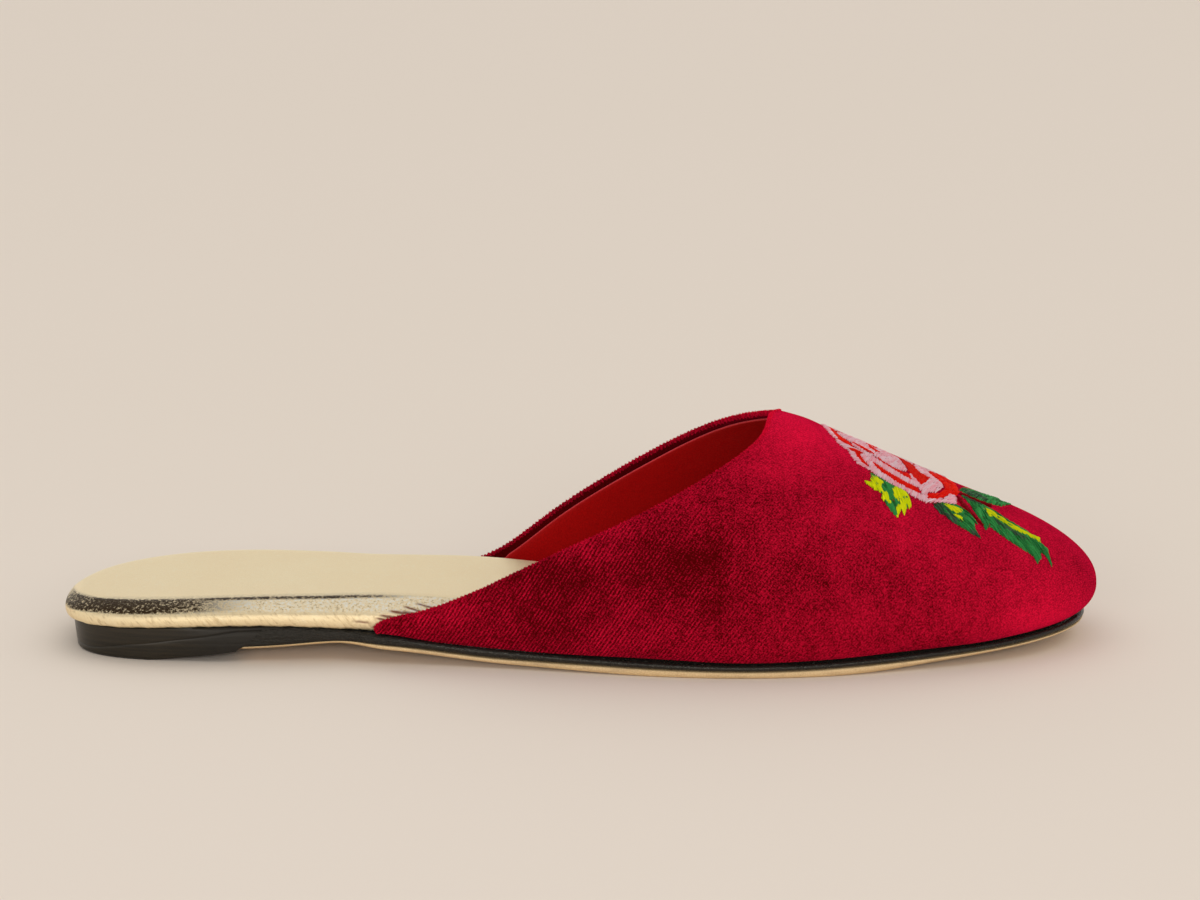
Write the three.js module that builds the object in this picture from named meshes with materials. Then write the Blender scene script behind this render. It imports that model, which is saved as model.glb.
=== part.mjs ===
// A low slipper of the babouche kind: a closed rounded toe, an open back and no strap.
// Lengths are millimetres. X runs from the heel to the toe, Y to the inner side of a right foot, Z up.
// While the pieces are built, x = 0 is the back of the seat outline and z = 0 is the floor.
import * as THREE from "three";

// Named sizes
const seatLength = 252.5; // length of the seat outline, the line that every piece is set out from
const halfWidth = 39; // half of the seat outline at the ball
const heelHeight = 9.3; // from the floor to the seat, over the front of the heel
const throatHeight = 57; // from the floor to the highest point of the collar
const wall = 1.8; // velvet and lining of the upper, together
const gap = 0.3; // clearance between two neighbouring pieces
const soleThickness = 1.6; // outsole under the ball
const randThickness = 1.9; // rand at the forefoot
const randWidth = 7.5; // rand from its inner edge to the seat outline
const beadOverhang = 0.9; // how far the rand stands out beyond the foot of the upper
const beadRound = 0.9; // depth of the rand's rounded edge
const footbedThickness = 9; // footbed where it is deepest, over the arch

// Heights of the seat above the floor at the ball, and what the heel adds to it
const ballSeat = soleThickness + gap + randThickness;
const seatRise = heelHeight - ballSeat;

// Seat outline seen from above: posts of a closed smooth curve,
// along as shares of seatLength and side as shares of halfWidth, outer side negative
const outlinePosts = [
  { along: -0.006, side: -0.177 },
  { along: 0.007, side: -0.532 },
  { along: 0.078, side: -0.708 },
  { along: 0.183, side: -0.689 },
  { along: 0.295, side: -0.663 },
  { along: 0.407, side: -0.745 },
  { along: 0.520, side: -0.893 },
  { along: 0.640, side: -1.023 },
  { along: 0.760, side: -0.964 },
  { along: 0.857, side: -0.768 },
  { along: 0.932, side: -0.615 },
  { along: 0.987, side: -0.349 },
  { along: 1.007, side: -0.005 },
  { along: 0.988, side: 0.342 },
  { along: 0.931, side: 0.610 },
  { along: 0.839, side: 0.825 },
  { along: 0.727, side: 0.978 },
  { along: 0.616, side: 0.941 },
  { along: 0.505, side: 0.723 },
  { along: 0.398, side: 0.557 },
  { along: 0.293, side: 0.576 },
  { along: 0.184, side: 0.702 },
  { along: 0.088, side: 0.664 },
  { along: 0.016, side: 0.393 },
];

// Smooth curves along the shoe: start and step as shares of seatLength, posts as shares of a size
// Seat above the height of the ball, as shares of seatRise
const seatCurve = {
  start: -0.198,
  step: 0.099,
  posts: [0.98, 0.835, 0.69, 0.945, 1.055, 0.78, 0.345, 0.165, 0.035, -0.035, 0.11, 0.255, 0.62, 0.8, 0.93],
};
// Thickness of the footbed, as shares of footbedThickness
const footbedCurve = {
  start: -0.0792,
  step: 0.0792,
  posts: [0.5, 0.66, 0.68, 0.67, 0.73, 0.91, 1.12, 0.86, 0.55, 0.43, 0.42, 0.385, 0.42, 0.435, 0.43, 0.48],
};
// Height of the rand, as shares of randThickness
const randCurve = {
  start: 0.0792,
  step: 0.0792,
  posts: [3.4, 3.0, 2.2, 1.85, 1.53, 1.26, 1.1, 1, 1, 1, 0.95, 0.95, 0.95, 0.95],
};
// Thickness of the outsole before the floor flattens it, as shares of soleThickness
const soleCurve = {
  start: 0.0792,
  step: 0.0792,
  posts: [0.7, 0.65, 0.7, 0.71, 0.68, 0.86, 1.19, 1.1, 1.05, 1.46, 1.45, 1.58, 1.4, 1.2],
};
// Crest of the upper above the floor, as shares of throatHeight
const crestCurve = {
  start: 0,
  step: 0.0792,
  posts: [1.29, 1.232, 1.191, 1.17, 1.161, 1.158, 1.14, 1.109, 1.077, 1, 0.84, 0.677, 0.546, 0.46],
};

// Collar of the upper, as shares of seatLength: where its edge crosses each row,
// from the foot of the outer side, over the crest at row 0, to the foot of the inner side
const collarPosts = [
  { row: -7, along: 0.349 },
  { row: -6, along: 0.293 },
  { row: -5, along: 0.311 },
  { row: -4, along: 0.426 },
  { row: -3, along: 0.570 },
  { row: -2, along: 0.656 },
  { row: -1, along: 0.693 },
  { row: 0, along: 0.697 },
  { row: 1, along: 0.716 },
  { row: 2, along: 0.656 },
  { row: 3, along: 0.580 },
  { row: 4, along: 0.466 },
  { row: 5, along: 0.384 },
  { row: 6, along: 0.349 },
  { row: 7, along: 0.317 },
];
const collarRows = 6;

// Spine that the cross-sections leave, as shares of seatLength: straight ribs between two fans
const spine = {
  heelEnd: 0.095,
  heelFan: 0.174,
  toeFan: 0.792,
  toeEnd: 0.919,
  fanShare: 0.22, // share of the way taken up by each fan
  fanTurn: 1.6, // how softly a fan starts to turn
};

// Foot of the upper: a round swelling between its lower edge and the side wall
const swell = {
  sideDepth: 3.4,
  toeDepth: 7.8,
  height: 6.6,
  startAngle: 60,
  rowShare: 0.16, // share of the rows that it takes up
};

// How the cross-section leans in above the swelling: larger is more like a tent
const lean = { instep: 1.3, toe: 0.8, start: 0.412, run: 0.475 };

// Heel: a stacked block whose front leans and whose tread lifts towards the waist
const heel = {
  treadEnd: 0.079, // share of seatLength
  breastFoot: 0.1655, // share of seatLength
  breastLift: 0.29, // share of heelHeight
  breastLean: 1.18, // run of the front for each unit of height
  undercut: 1.4,
  inset: 0.2, // how far its top edge lies inside the seat outline
};

// Where the waist turns into the forefoot, as shares of seatLength
const wing = { start: 0.261, end: 0.317 };

// How far each piece's edge lies outside the seat outline at the waist
const waistEdge = { rand: 0.3, outsole: -0.4 };

// Footbed's side: how far it swells where it is bare, beside the wings and under the vamp
const footbedSide = {
  bare: 2,
  tucked: 1.1,
  covered: 0.1,
  shoulder: 5, // width of the rounded top edge
  tuckStart: 0.245, // shares of seatLength
  coverStart: 0.412,
  coverEnd: 0.491,
};

// Outsole's bevelled lower edge
const soleBevel = { waist: 4, forefoot: 0.9 };

// Runs of the short sections beside the heel's front
const capRun = 3;
const endRun = 6;

const radians = Math.PI / 180;

// Uniform cubic spline weights at the share f of one step
function splineWeights(f) {
  return [(1 - f) ** 3 / 6, (3 * f ** 3 - 6 * f ** 2 + 4) / 6, (-3 * f ** 3 + 3 * f ** 2 + 3 * f + 1) / 6, f ** 3 / 6];
}

// Value of one of the curves above, where t counts steps from the curve's first post
function splineAt(posts, t) {
  const place = THREE.MathUtils.clamp(t - 1, 0, posts.length - 3 - 1e-9);
  const i = Math.floor(place);
  return splineWeights(place - i).reduce((sum, weight, k) => sum + weight * posts[i + k], 0);
}

function curveAt(curve, x) {
  return splineAt(curve.posts, (x / seatLength - curve.start) / curve.step);
}

const seatAt = (x) => ballSeat + seatRise * curveAt(seatCurve, x);
const seatClearAt = (x) => seatAt(x) + gap;
const footbedTopAt = (x) => seatAt(x) + footbedThickness * curveAt(footbedCurve, x);
const randBottomAt = (x) => seatAt(x) - randThickness * curveAt(randCurve, x);
const soleTopAt = (x) => randBottomAt(x) - gap;
const soleBottomAt = (x) => Math.max(0, soleTopAt(x) - soleThickness * curveAt(soleCurve, x));
const crestAt = (x) => throatHeight * curveAt(crestCurve, x);

// Seat outline as a dense closed line
function seatOutline(count) {
  const line = [];
  const posts = outlinePosts.length;
  for (let n = 0; n < count; n += 1) {
    const t = (n / count) * posts;
    const i = Math.floor(t);
    const point = new THREE.Vector2();
    splineWeights(t - i).forEach((weight, k) => {
      const post = outlinePosts[(i - 1 + k + posts) % posts];
      point.x += weight * post.along * seatLength;
      point.y += weight * post.side * halfWidth;
    });
    line.push(point);
  }
  return line;
}
const outline = seatOutline(960);

// Distance from a spine point to the seat outline, along a direction in plan
function reach(x, dirX, dirY) {
  let best = 0;
  for (let n = 0; n < outline.length; n += 1) {
    const a = outline[n];
    const b = outline[(n + 1) % outline.length];
    const sideA = dirX * a.y - dirY * (a.x - x);
    const sideB = dirX * b.y - dirY * (b.x - x);
    if (sideA > 0 === sideB > 0) continue;
    const share = sideA / (sideA - sideB);
    const distance = dirX * (a.x + (b.x - a.x) * share - x) + dirY * (a.y + (b.y - a.y) * share);
    best = Math.max(best, distance);
  }
  return best;
}

// Rib at the share v of the way from the heel tip (0) to the toe tip (1), on the side -1 or +1
function rib(v, side) {
  const { heelEnd, heelFan, toeFan, toeEnd, fanShare, fanTurn } = spine;
  let along = heelFan + ((toeFan - heelFan) * (v - fanShare)) / (1 - 2 * fanShare);
  let angle = 90;
  if (v < fanShare) {
    const q = 1 - v / fanShare;
    along = heelFan - (heelFan - heelEnd) * Math.sin(q * 90 * radians);
    angle = 90 + 90 * q ** fanTurn;
  }
  if (v > 1 - fanShare) {
    const q = (v - 1 + fanShare) / fanShare;
    along = toeFan + (toeEnd - toeFan) * Math.sin(q * 90 * radians);
    angle = 90 - 90 * q ** fanTurn;
  }
  const x = along * seatLength;
  const dirX = Math.cos(angle * radians);
  const dirY = side * Math.sin(angle * radians);
  const length = reach(x, dirX, dirY);
  return { x, dirX, dirY, length, edgeX: x + dirX * length };
}

// Share v whose rib leaves the straight part of the spine at x
function shareAt(x) {
  const { heelFan, toeFan, fanShare } = spine;
  return fanShare + ((x / seatLength - heelFan) / (toeFan - heelFan)) * (1 - 2 * fanShare);
}

// Point of a rib at the distance r from the spine, its height given by a function of x
function ribPoint(at, r, height) {
  const x = at.x + at.dirX * r;
  return new THREE.Vector3(x, at.dirY * r, height(x));
}

// Smooth change from one value to another while x passes between two shares of seatLength
function blend(from, to, x, start, end) {
  return from + (to - from) * THREE.MathUtils.smoothstep(x / seatLength, start, end);
}

function spread(from, to, count) {
  return Array.from({ length: count + 1 }, (_, n) => from + ((to - from) * n) / count);
}

// Ribs of the outer side in order, then those of the inner side back again
function ribLoop(shares) {
  const outerSide = shares.map((v) => rib(v, -1));
  const innerSide = [...shares].reverse().map((v) => rib(v, 1));
  return [...outerSide, ...innerSide.slice(1)];
}

// Collects triangles, joins equal corners and turns the whole body outward
class Body {
  constructor() {
    this.points = [];
    this.faces = [];
    this.known = new Map();
  }

  corner(p) {
    const key = [p.x, p.y, p.z].map((n) => Math.round(n * 500)).join(" ");
    if (!this.known.has(key)) {
      this.known.set(key, this.points.length);
      this.points.push(p.clone());
    }
    return this.known.get(key);
  }

  triangle(a, b, c) {
    const face = [this.corner(a), this.corner(b), this.corner(c)];
    if (new Set(face).size === 3) this.faces.push(face);
  }

  quad(a, b, c, d) {
    if (a.distanceTo(c) <= b.distanceTo(d)) {
      this.triangle(a, b, c);
      this.triangle(a, c, d);
    } else {
      this.triangle(a, b, d);
      this.triangle(b, c, d);
    }
  }

  // Skin over rows of points of equal length
  grid(rows) {
    for (let i = 0; i + 1 < rows.length; i += 1) {
      for (let j = 0; j + 1 < rows[i].length; j += 1) {
        this.quad(rows[i][j], rows[i + 1][j], rows[i + 1][j + 1], rows[i][j + 1]);
      }
    }
  }

  // Flat end over a section of seven points, the first and last of them side by side
  end(section) {
    this.quad(section[0], section[1], section[5], section[6]);
    this.quad(section[1], section[2], section[4], section[5]);
    this.triangle(section[2], section[3], section[4]);
  }

  mesh(name, material) {
    let volume = 0;
    for (const [a, b, c] of this.faces) {
      const across = new THREE.Vector3().crossVectors(this.points[b], this.points[c]);
      volume += this.points[a].dot(across);
    }
    const order = volume < 0 ? ([a, b, c]) => [a, c, b] : (face) => face;
    const geometry = new THREE.BufferGeometry().setFromPoints(this.points);
    geometry.setIndex(this.faces.flatMap(order));
    geometry.computeVertexNormals();
    const mesh = new THREE.Mesh(geometry, material);
    mesh.name = name;
    return mesh;
  }
}

// Materials
const velvet = new THREE.MeshStandardMaterial({ name: "velvet", color: 0x8e0d20, roughness: 0.9 });
const goldLeather = new THREE.MeshStandardMaterial({ name: "gold_leather", color: 0xdcc6a0, roughness: 0.45 });
const blackLeather = new THREE.MeshStandardMaterial({ name: "black_leather", color: 0x23201d, roughness: 0.5 });
const heelLeather = new THREE.MeshStandardMaterial({ name: "heel_leather", color: 0x2a2622, roughness: 0.4 });
const soleLeather = new THREE.MeshStandardMaterial({ name: "sole_leather", color: 0xb98a58, roughness: 0.6 });

// The heel's front is a plane that leans forward as it rises
const breastFootX = heel.breastFoot * seatLength;
const breastFootZ = heel.breastLift * heelHeight;
const breastClearance = gap * Math.hypot(1, heel.breastLean);

function breastX(z) {
  return breastFootX + (z - breastFootZ) * heel.breastLean;
}

// Moves a point along X onto that plane, or in front of it
function toBreast(p, clearance) {
  return new THREE.Vector3(breastX(p.z) + clearance, p.y, p.z);
}

// Outer surface of the upper, its rows running from -1 at the outer foot to 1 at the inner one
function outerPoint(v, row) {
  const share = 1 - Math.abs(row);
  const at = rib(v, row < 0 ? -1 : 1);
  const foot = at.length + wall;
  const footZ = seatClearAt(at.x + at.dirX * foot);
  const depth = swell.sideDepth + (swell.toeDepth - swell.sideDepth) * Math.max(0, at.dirX) ** 1.5;
  const start = swell.startAngle * radians;
  const swellR = foot - depth * Math.cos(start);
  const swellZ = footZ + swell.height * Math.sin(start);
  let r = 0;
  let z = 0;
  if (share < swell.rowShare) {
    const turn = -start * (1 - share / swell.rowShare);
    r = swellR + depth * Math.cos(turn);
    z = swellZ + swell.height * Math.sin(turn);
  } else {
    const turn = ((share - swell.rowShare) / (1 - swell.rowShare)) * 90 * radians;
    const forward = THREE.MathUtils.clamp((at.x / seatLength - lean.start) / lean.run, 0, 1);
    const power = lean.instep + (lean.toe - lean.instep) * forward;
    const rise = crestAt(at.x) - swellZ;
    const slope = crestAt(at.x - 0.5) - crestAt(at.x + 0.5);
    const widest = swellR + depth;
    const fall = THREE.MathUtils.clamp(slope * at.dirX * widest, 0, 0.85 * rise);
    r = widest * Math.max(0, Math.cos(turn));
    z = swellZ + (rise - fall) * Math.sin(turn) ** power + fall * (1 - Math.cos(turn));
  }
  return new THREE.Vector3(at.x + at.dirX * r, at.dirY * r, z);
}

// Share v where the collar crosses a row
function collarAt(row) {
  const along = splineAt(collarPosts.map((post) => post.along), row * collarRows - collarPosts[0].row);
  return shareAt(along * seatLength);
}

// Unit normal of the outer surface, found from points close by
function outerNormal(v, row) {
  const step = 0.004;
  if (v > 1 - step) {
    const side = Math.sign(row) || 1;
    const upper = outerPoint(1, side * Math.max(0, Math.abs(row) - step));
    const lower = outerPoint(1, side * Math.min(1, Math.abs(row) + step));
    const across = outerPoint(1 - step, -row).sub(outerPoint(1 - step, row));
    if (row === 0) across.set(0, 1, 0);
    const normal = across.cross(lower.sub(upper)).normalize();
    return normal.x < 0 ? normal.negate() : normal;
  }
  const along = outerPoint(v + step, row).sub(outerPoint(v - step, row));
  const over = outerPoint(v, Math.min(1, row + step)).sub(outerPoint(v, Math.max(-1, row - step)));
  return along.cross(over).normalize();
}

// Upper: one shell that is open at the back and underneath
function makeUpper() {
  const swellRows = 4;
  const sideRows = 13;
  const columns = 42;
  const rising = [
    ...spread(0, swell.rowShare, swellRows),
    ...spread(swell.rowShare, 1, sideRows).slice(1),
  ];
  const rows = [...rising.map((share) => share - 1), ...[...rising].reverse().slice(1).map((share) => 1 - share)];
  const outer = [];
  const inner = [];
  for (const row of rows) {
    const shares = spread(collarAt(row), 1, columns);
    const skin = shares.map((v) => outerPoint(v, row));
    outer.push(skin);
    inner.push(skin.map((p, n) => p.clone().addScaledVector(outerNormal(shares[n], row), -wall)));
  }
  const body = new Body();
  body.grid(outer);
  body.grid(inner.map((row) => [...row].reverse()));
  body.grid([inner[0], outer[0]]);
  body.grid([outer[outer.length - 1], inner[inner.length - 1]]);
  body.grid(outer.map((row, n) => [inner[n][0], row[0]]));
  return body.mesh("upper", velvet);
}

// Insole: a padded board wrapped in leather, its underside stepped to drop inside the rand
function makeInsole() {
  const stepX = breastX(seatClearAt(breastFootX + heelHeight * heel.breastLean)) + breastClearance;
  const stepShare = shareAt(stepX);
  const afterStep = shareAt(stepX + gap);
  const shares = [
    ...spread(0, shareAt(stepX - capRun), 15),
    stepShare,
    afterStep,
    ...spread(shareAt(stepX + endRun), 1, 36),
  ];
  const profile = (at, v) => {
    const { bare, tucked, covered, shoulder, tuckStart, coverStart, coverEnd } = footbedSide;
    const beside = blend(bare, tucked, at.edgeX, tuckStart, tuckStart + wing.end - wing.start);
    const edge = at.length + beside - blend(0, tucked - covered, at.edgeX, coverStart, coverEnd);
    const inside = at.length - randWidth - gap;
    const bottomAt = v > stepShare ? randBottomAt : seatClearAt;
    const between = (share) => (x) => footbedTopAt(x) - share * (footbedTopAt(x) - seatClearAt(x));
    const section = [
      ribPoint(at, 0, footbedTopAt),
      ribPoint(at, 0.5 * (edge - shoulder), footbedTopAt),
      ribPoint(at, edge - shoulder, between(0.01)),
      ribPoint(at, edge - 0.44 * shoulder, between(0.08)),
      ribPoint(at, edge - 0.12 * shoulder, between(0.3)),
      ribPoint(at, edge, between(0.58)),
      ribPoint(at, edge - 0.22 * shoulder, between(0.84)),
      ribPoint(at, edge - 0.3 * shoulder, seatClearAt),
      ribPoint(at, inside, seatClearAt),
      ribPoint(at, inside - gap, bottomAt),
      ribPoint(at, 0, bottomAt),
    ];
    if (v === afterStep) {
      for (const n of [9, 10]) section[n] = toBreast(section[n], breastClearance);
    }
    return section;
  };
  const order = [...shares, ...[...shares].reverse().slice(1)];
  const body = new Body();
  body.grid(ribLoop(shares).map((at, n) => profile(at, order[n])));
  return body.mesh("insole", goldLeather);
}

// Skin over sections, with the two end sections laid against the heel's front
function againstHeel(sections) {
  const last = sections.length - 1;
  return sections.map((section, n) => (n === 0 || n === last ? section.map((p) => toBreast(p, breastClearance)) : section));
}

function withEnds(body, sections) {
  body.end(sections[0]);
  body.end([...sections[sections.length - 1]].reverse());
}

// Rand: a bead-edged strip from the heel's front round the toe
function makeRand() {
  const startX = breastX(heelHeight - randThickness) + breastClearance;
  const shares = [shareAt(startX), ...spread(shareAt(startX + endRun), 1, 36)];
  const section = (at) => {
    const edge = at.length + blend(waistEdge.rand, wall + beadOverhang, at.edgeX, wing.start, wing.end);
    const down = (share) => (x) => seatAt(x) - share * (seatAt(x) - randBottomAt(x));
    return [
      ribPoint(at, at.length - randWidth, down(1)),
      ribPoint(at, edge - beadRound, down(1)),
      ribPoint(at, edge - 0.28 * beadRound, down(0.82)),
      ribPoint(at, edge, down(0.5)),
      ribPoint(at, edge - 0.28 * beadRound, down(0.18)),
      ribPoint(at, edge - beadRound, down(0)),
      ribPoint(at, at.length - randWidth, down(0)),
    ];
  };
  const sections = againstHeel(ribLoop(shares).map(section));
  const body = new Body();
  body.grid(sections.map((ring) => [...ring, ring[0]]));
  withEnds(body, sections);
  return body.mesh("rand", blackLeather);
}

// Outsole: a leather sole from the heel's front to the toe, thinned to a feather edge at the waist
function makeOutsole() {
  const startX = breastX(breastFootZ) + breastClearance;
  const shares = [shareAt(startX + capRun), ...spread(shareAt(startX + capRun + endRun), 1, 36)];
  const section = (at) => {
    const overhang = wall + beadOverhang - gap;
    const edge = at.length + blend(waistEdge.outsole, overhang, at.edgeX, wing.start, wing.end);
    const bevel = blend(soleBevel.waist, soleBevel.forefoot, at.edgeX, wing.start, wing.end);
    const down = (share) => (x) => soleTopAt(x) - share * (soleTopAt(x) - soleBottomAt(x));
    return [
      ribPoint(at, 0, soleTopAt),
      ribPoint(at, edge - gap, soleTopAt),
      ribPoint(at, edge, down(0.25)),
      ribPoint(at, edge - 0.1 * bevel, down(0.55)),
      ribPoint(at, edge - bevel, soleBottomAt),
      ribPoint(at, 0.5 * edge, soleBottomAt),
      ribPoint(at, 0, soleBottomAt),
    ];
  };
  const sections = againstHeel(ribLoop(shares).map(section));
  const body = new Body();
  body.grid(sections);
  withEnds(body, sections);
  return body.mesh("outsole", soleLeather);
}

// Heel: a low stacked block with a leaning front
function makeHeel() {
  const treadEndX = heel.treadEnd * seatLength;
  const treadAt = (x) => breastFootZ * Math.max(0, (x - treadEndX) / (breastFootX - treadEndX)) ** 1.15;
  const section = (at, treadHeight) => {
    const edge = at.length - heel.inset;
    const down = (share) => (x) => seatAt(x) - share * (seatAt(x) - treadHeight(x));
    return [
      ribPoint(at, 0, seatAt),
      ribPoint(at, edge - 0.5, seatAt),
      ribPoint(at, edge, down(0.06)),
      ribPoint(at, edge - 0.35 * heel.undercut, down(0.5)),
      ribPoint(at, edge - heel.undercut, treadHeight),
      ribPoint(at, 0.5 * edge, treadHeight),
      ribPoint(at, 0, treadHeight),
    ];
  };
  const front = (side) => {
    const at = rib(shareAt(breastFootX + capRun), side);
    return section(at, () => breastFootZ).map((p) => toBreast(p, 0));
  };
  const shares = spread(shareAt(breastFootX - capRun), 0, 17);
  const sections = [front(-1), ...ribLoop(shares).map((at) => section(at, treadAt)), front(1)];
  const body = new Body();
  body.grid(sections);
  withEnds(body, sections);
  return body.mesh("heel", heelLeather);
}

const slipper = new THREE.Group();
slipper.name = "babouche";
slipper.add(makeUpper(), makeInsole(), makeRand(), makeOutsole(), makeHeel());

// The origin is under the middle of the whole slipper, on the floor
const box = new THREE.Box3().setFromObject(slipper, true);
const middle = box.getCenter(new THREE.Vector3());
slipper.position.set(-middle.x, -middle.y, 0);
slipper.updateMatrixWorld(true);

export default slipper;
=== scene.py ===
import bpy
import numpy as np
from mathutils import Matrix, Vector


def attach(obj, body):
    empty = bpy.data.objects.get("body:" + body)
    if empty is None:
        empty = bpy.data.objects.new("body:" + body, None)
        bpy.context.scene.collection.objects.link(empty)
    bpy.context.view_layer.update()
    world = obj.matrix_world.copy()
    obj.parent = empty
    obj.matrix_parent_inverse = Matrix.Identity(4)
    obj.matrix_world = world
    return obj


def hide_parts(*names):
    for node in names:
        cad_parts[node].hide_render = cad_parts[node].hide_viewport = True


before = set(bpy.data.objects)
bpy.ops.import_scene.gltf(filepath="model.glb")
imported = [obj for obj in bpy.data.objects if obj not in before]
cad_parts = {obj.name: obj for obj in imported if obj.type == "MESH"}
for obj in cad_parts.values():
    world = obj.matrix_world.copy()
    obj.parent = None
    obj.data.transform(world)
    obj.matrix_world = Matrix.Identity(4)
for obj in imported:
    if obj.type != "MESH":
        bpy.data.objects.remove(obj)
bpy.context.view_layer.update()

# Outsole
# A single leather sole under the waist and forefoot, thinned to a feather edge behind the ball.
# Its flesh-coloured edge shows below the rand; its face is waxed and lightly scuffed where it treads.

# Every piece is set out on the last: from the seat outline, where the foot's sole meets the shoe, and
# from ribs that leave a spine along the middle, straight across and with a fan at each end
seat_length = 252.5
half_width = 39.0
heel_height = 9.3
wall = 1.8
gap = 0.3
sole_thickness = 1.6
rand_thickness = 1.9
ball_seat = sole_thickness + gap + rand_thickness
seat_rise = heel_height - ball_seat
middle = np.array([-128.1675, 0.7755, 0.0])
outline_points = 960

# Posts of the closed outline: along as shares of seat_length, side as shares of half_width
outline_posts = np.array([
    (-0.006, -0.177), (0.007, -0.532), (0.078, -0.708), (0.183, -0.689), (0.295, -0.663), (0.407, -0.745),
    (0.520, -0.893), (0.640, -1.023), (0.760, -0.964), (0.857, -0.768), (0.932, -0.615), (0.987, -0.349),
    (1.007, -0.005), (0.988, 0.342), (0.931, 0.610), (0.839, 0.825), (0.727, 0.978), (0.616, 0.941),
    (0.505, 0.723), (0.398, 0.557), (0.293, 0.576), (0.184, 0.702), (0.088, 0.664), (0.016, 0.393),
])


def spline(before, here, after, beyond, f):
    """Uniform cubic spline: four neighbouring posts weighted by cubics of the share f of one step."""
    start = (1 - f) ** 3 * before + (3 * f ** 3 - 6 * f ** 2 + 4) * here
    end = (-3 * f ** 3 + 3 * f ** 2 + 3 * f + 1) * after + f ** 3 * beyond
    return (start + end) / 6


def smooth_curve(start, step, posts):
    """A function of x: the spline through posts that stand a step apart, in shares of seat_length."""
    posts = np.array(posts, float)

    def at(x):
        place = np.clip((np.asarray(x, float) / seat_length - start) / step - 1, 0, len(posts) - 3 - 1e-9)
        i = place.astype(int)
        return spline(posts[i], posts[i + 1], posts[i + 2], posts[i + 3], place - i)

    return at


seat_share = smooth_curve(-0.198, 0.099, [
    0.98, 0.835, 0.69, 0.945, 1.055, 0.78, 0.345, 0.165, 0.035, -0.035, 0.11, 0.255, 0.62, 0.8, 0.93])
rand_share = smooth_curve(0.0792, 0.0792, [
    3.4, 3.0, 2.2, 1.85, 1.53, 1.26, 1.1, 1, 1, 1, 0.95, 0.95, 0.95, 0.95])
sole_share = smooth_curve(0.0792, 0.0792, [
    0.7, 0.65, 0.7, 0.71, 0.68, 0.86, 1.19, 1.1, 1.05, 1.46, 1.45, 1.58, 1.4, 1.2])


def seat_at(x):
    """Height of the seat above the floor."""
    return ball_seat + seat_rise * seat_share(x)


def rand_bottom_at(x):
    """Height of the rand's lower face."""
    return seat_at(x) - rand_thickness * rand_share(x)


def sole_top_at(x):
    """Height of the outsole's upper face."""
    return rand_bottom_at(x) - gap


def sole_bottom_at(x):
    """Height of the outsole's lower face, flattened by the floor."""
    return np.maximum(0, sole_top_at(x) - sole_thickness * sole_share(x))


def seat_outline():
    """Points of the closed outline: the same spline, its posts taken in turn round the shoe."""
    posts = outline_posts * [seat_length, half_width]
    place = np.arange(outline_points) / outline_points * len(posts)
    i = place.astype(int)
    near = [posts[(i + k) % len(posts)] for k in (-1, 0, 1, 2)]
    return spline(*near, (place - i)[:, None])


def reach(x, dir_x, dir_y):
    """Distance from spine points to the outline: the farthest crossing of a ray with its straight pieces."""
    a = seat_outline()
    b = np.roll(a, -1, axis=0)
    x, dir_x, dir_y = x[:, None], dir_x[:, None], dir_y[:, None]
    side_a = dir_x * a[:, 1] - dir_y * (a[:, 0] - x)
    side_b = dir_x * b[:, 1] - dir_y * (b[:, 0] - x)
    crossed = (side_a > 0) != (side_b > 0)
    share = side_a / np.where(crossed, side_a - side_b, 1)
    cross_x = a[:, 0] + (b[:, 0] - a[:, 0]) * share
    cross_y = a[:, 1] + (b[:, 1] - a[:, 1]) * share
    return np.where(crossed, dir_x * (cross_x - x) + dir_y * cross_y, 0).max(axis=1)


# Spine, as shares of seat_length, and the share of the way taken up by each fan
heel_end, heel_fan, toe_fan, toe_end = 0.095, 0.174, 0.792, 0.919
fan_share = 0.22
fan_turn = 1.6


def spine_at(v):
    """Spine point and rib direction at the share v of the way: along the spine, turning by a power of v."""
    v = np.asarray(v, float)
    back = np.clip(1 - v / fan_share, 0, 1)
    front = np.clip((v - 1 + fan_share) / fan_share, 0, 1)
    straight = np.clip((v - fan_share) / (1 - 2 * fan_share), 0, 1)
    along = heel_fan + (toe_fan - heel_fan) * straight
    along = along - (heel_fan - heel_end) * np.sin(back * np.pi / 2)
    along = along + (toe_end - toe_fan) * np.sin(front * np.pi / 2)
    angle = np.pi / 2 * (1 + back ** fan_turn - front ** fan_turn)
    return along * seat_length, np.cos(angle), np.sin(angle)


rib_shares = np.linspace(0, 1, 1601)
rib_x, rib_along, rib_across = spine_at(rib_shares)
outer_reach = reach(rib_x, rib_along, -rib_across)
inner_reach = reach(rib_x, rib_along, rib_across)


def rib(v, side):
    """Spine point, direction in plan and length to the outline of the rib v on the side -1 or +1."""
    x, along, across = spine_at(v)
    length = np.where(side < 0, np.interp(v, rib_shares, outer_reach), np.interp(v, rib_shares, inner_reach))
    return x, along, side * across, length


def share_at(x):
    """Share v whose rib leaves the straight part of the spine at x."""
    return fan_share + (x / seat_length - heel_fan) / (toe_fan - heel_fan) * (1 - 2 * fan_share)


def ease(x, start, end):
    """0 before start, 1 after end and a smooth step between them, for shares of seat_length."""
    t = np.clip((x / seat_length - start) / (end - start), 0, 1)
    return t * t * (3 - 2 * t)


def ribs_round(shares):
    """Ribs of the outer side in order, then those of the inner side back again, with their sides, their
    lengths and the place along the shoe where each one meets the outline."""
    v = np.concatenate([shares, shares[::-1][1:]])
    side = np.where(np.arange(len(v)) < len(shares), -1.0, 1.0)
    ribs = rib(v, side)
    return ribs, side, ribs[3][:, None], (ribs[0] + ribs[1] * ribs[3])[:, None]


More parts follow.
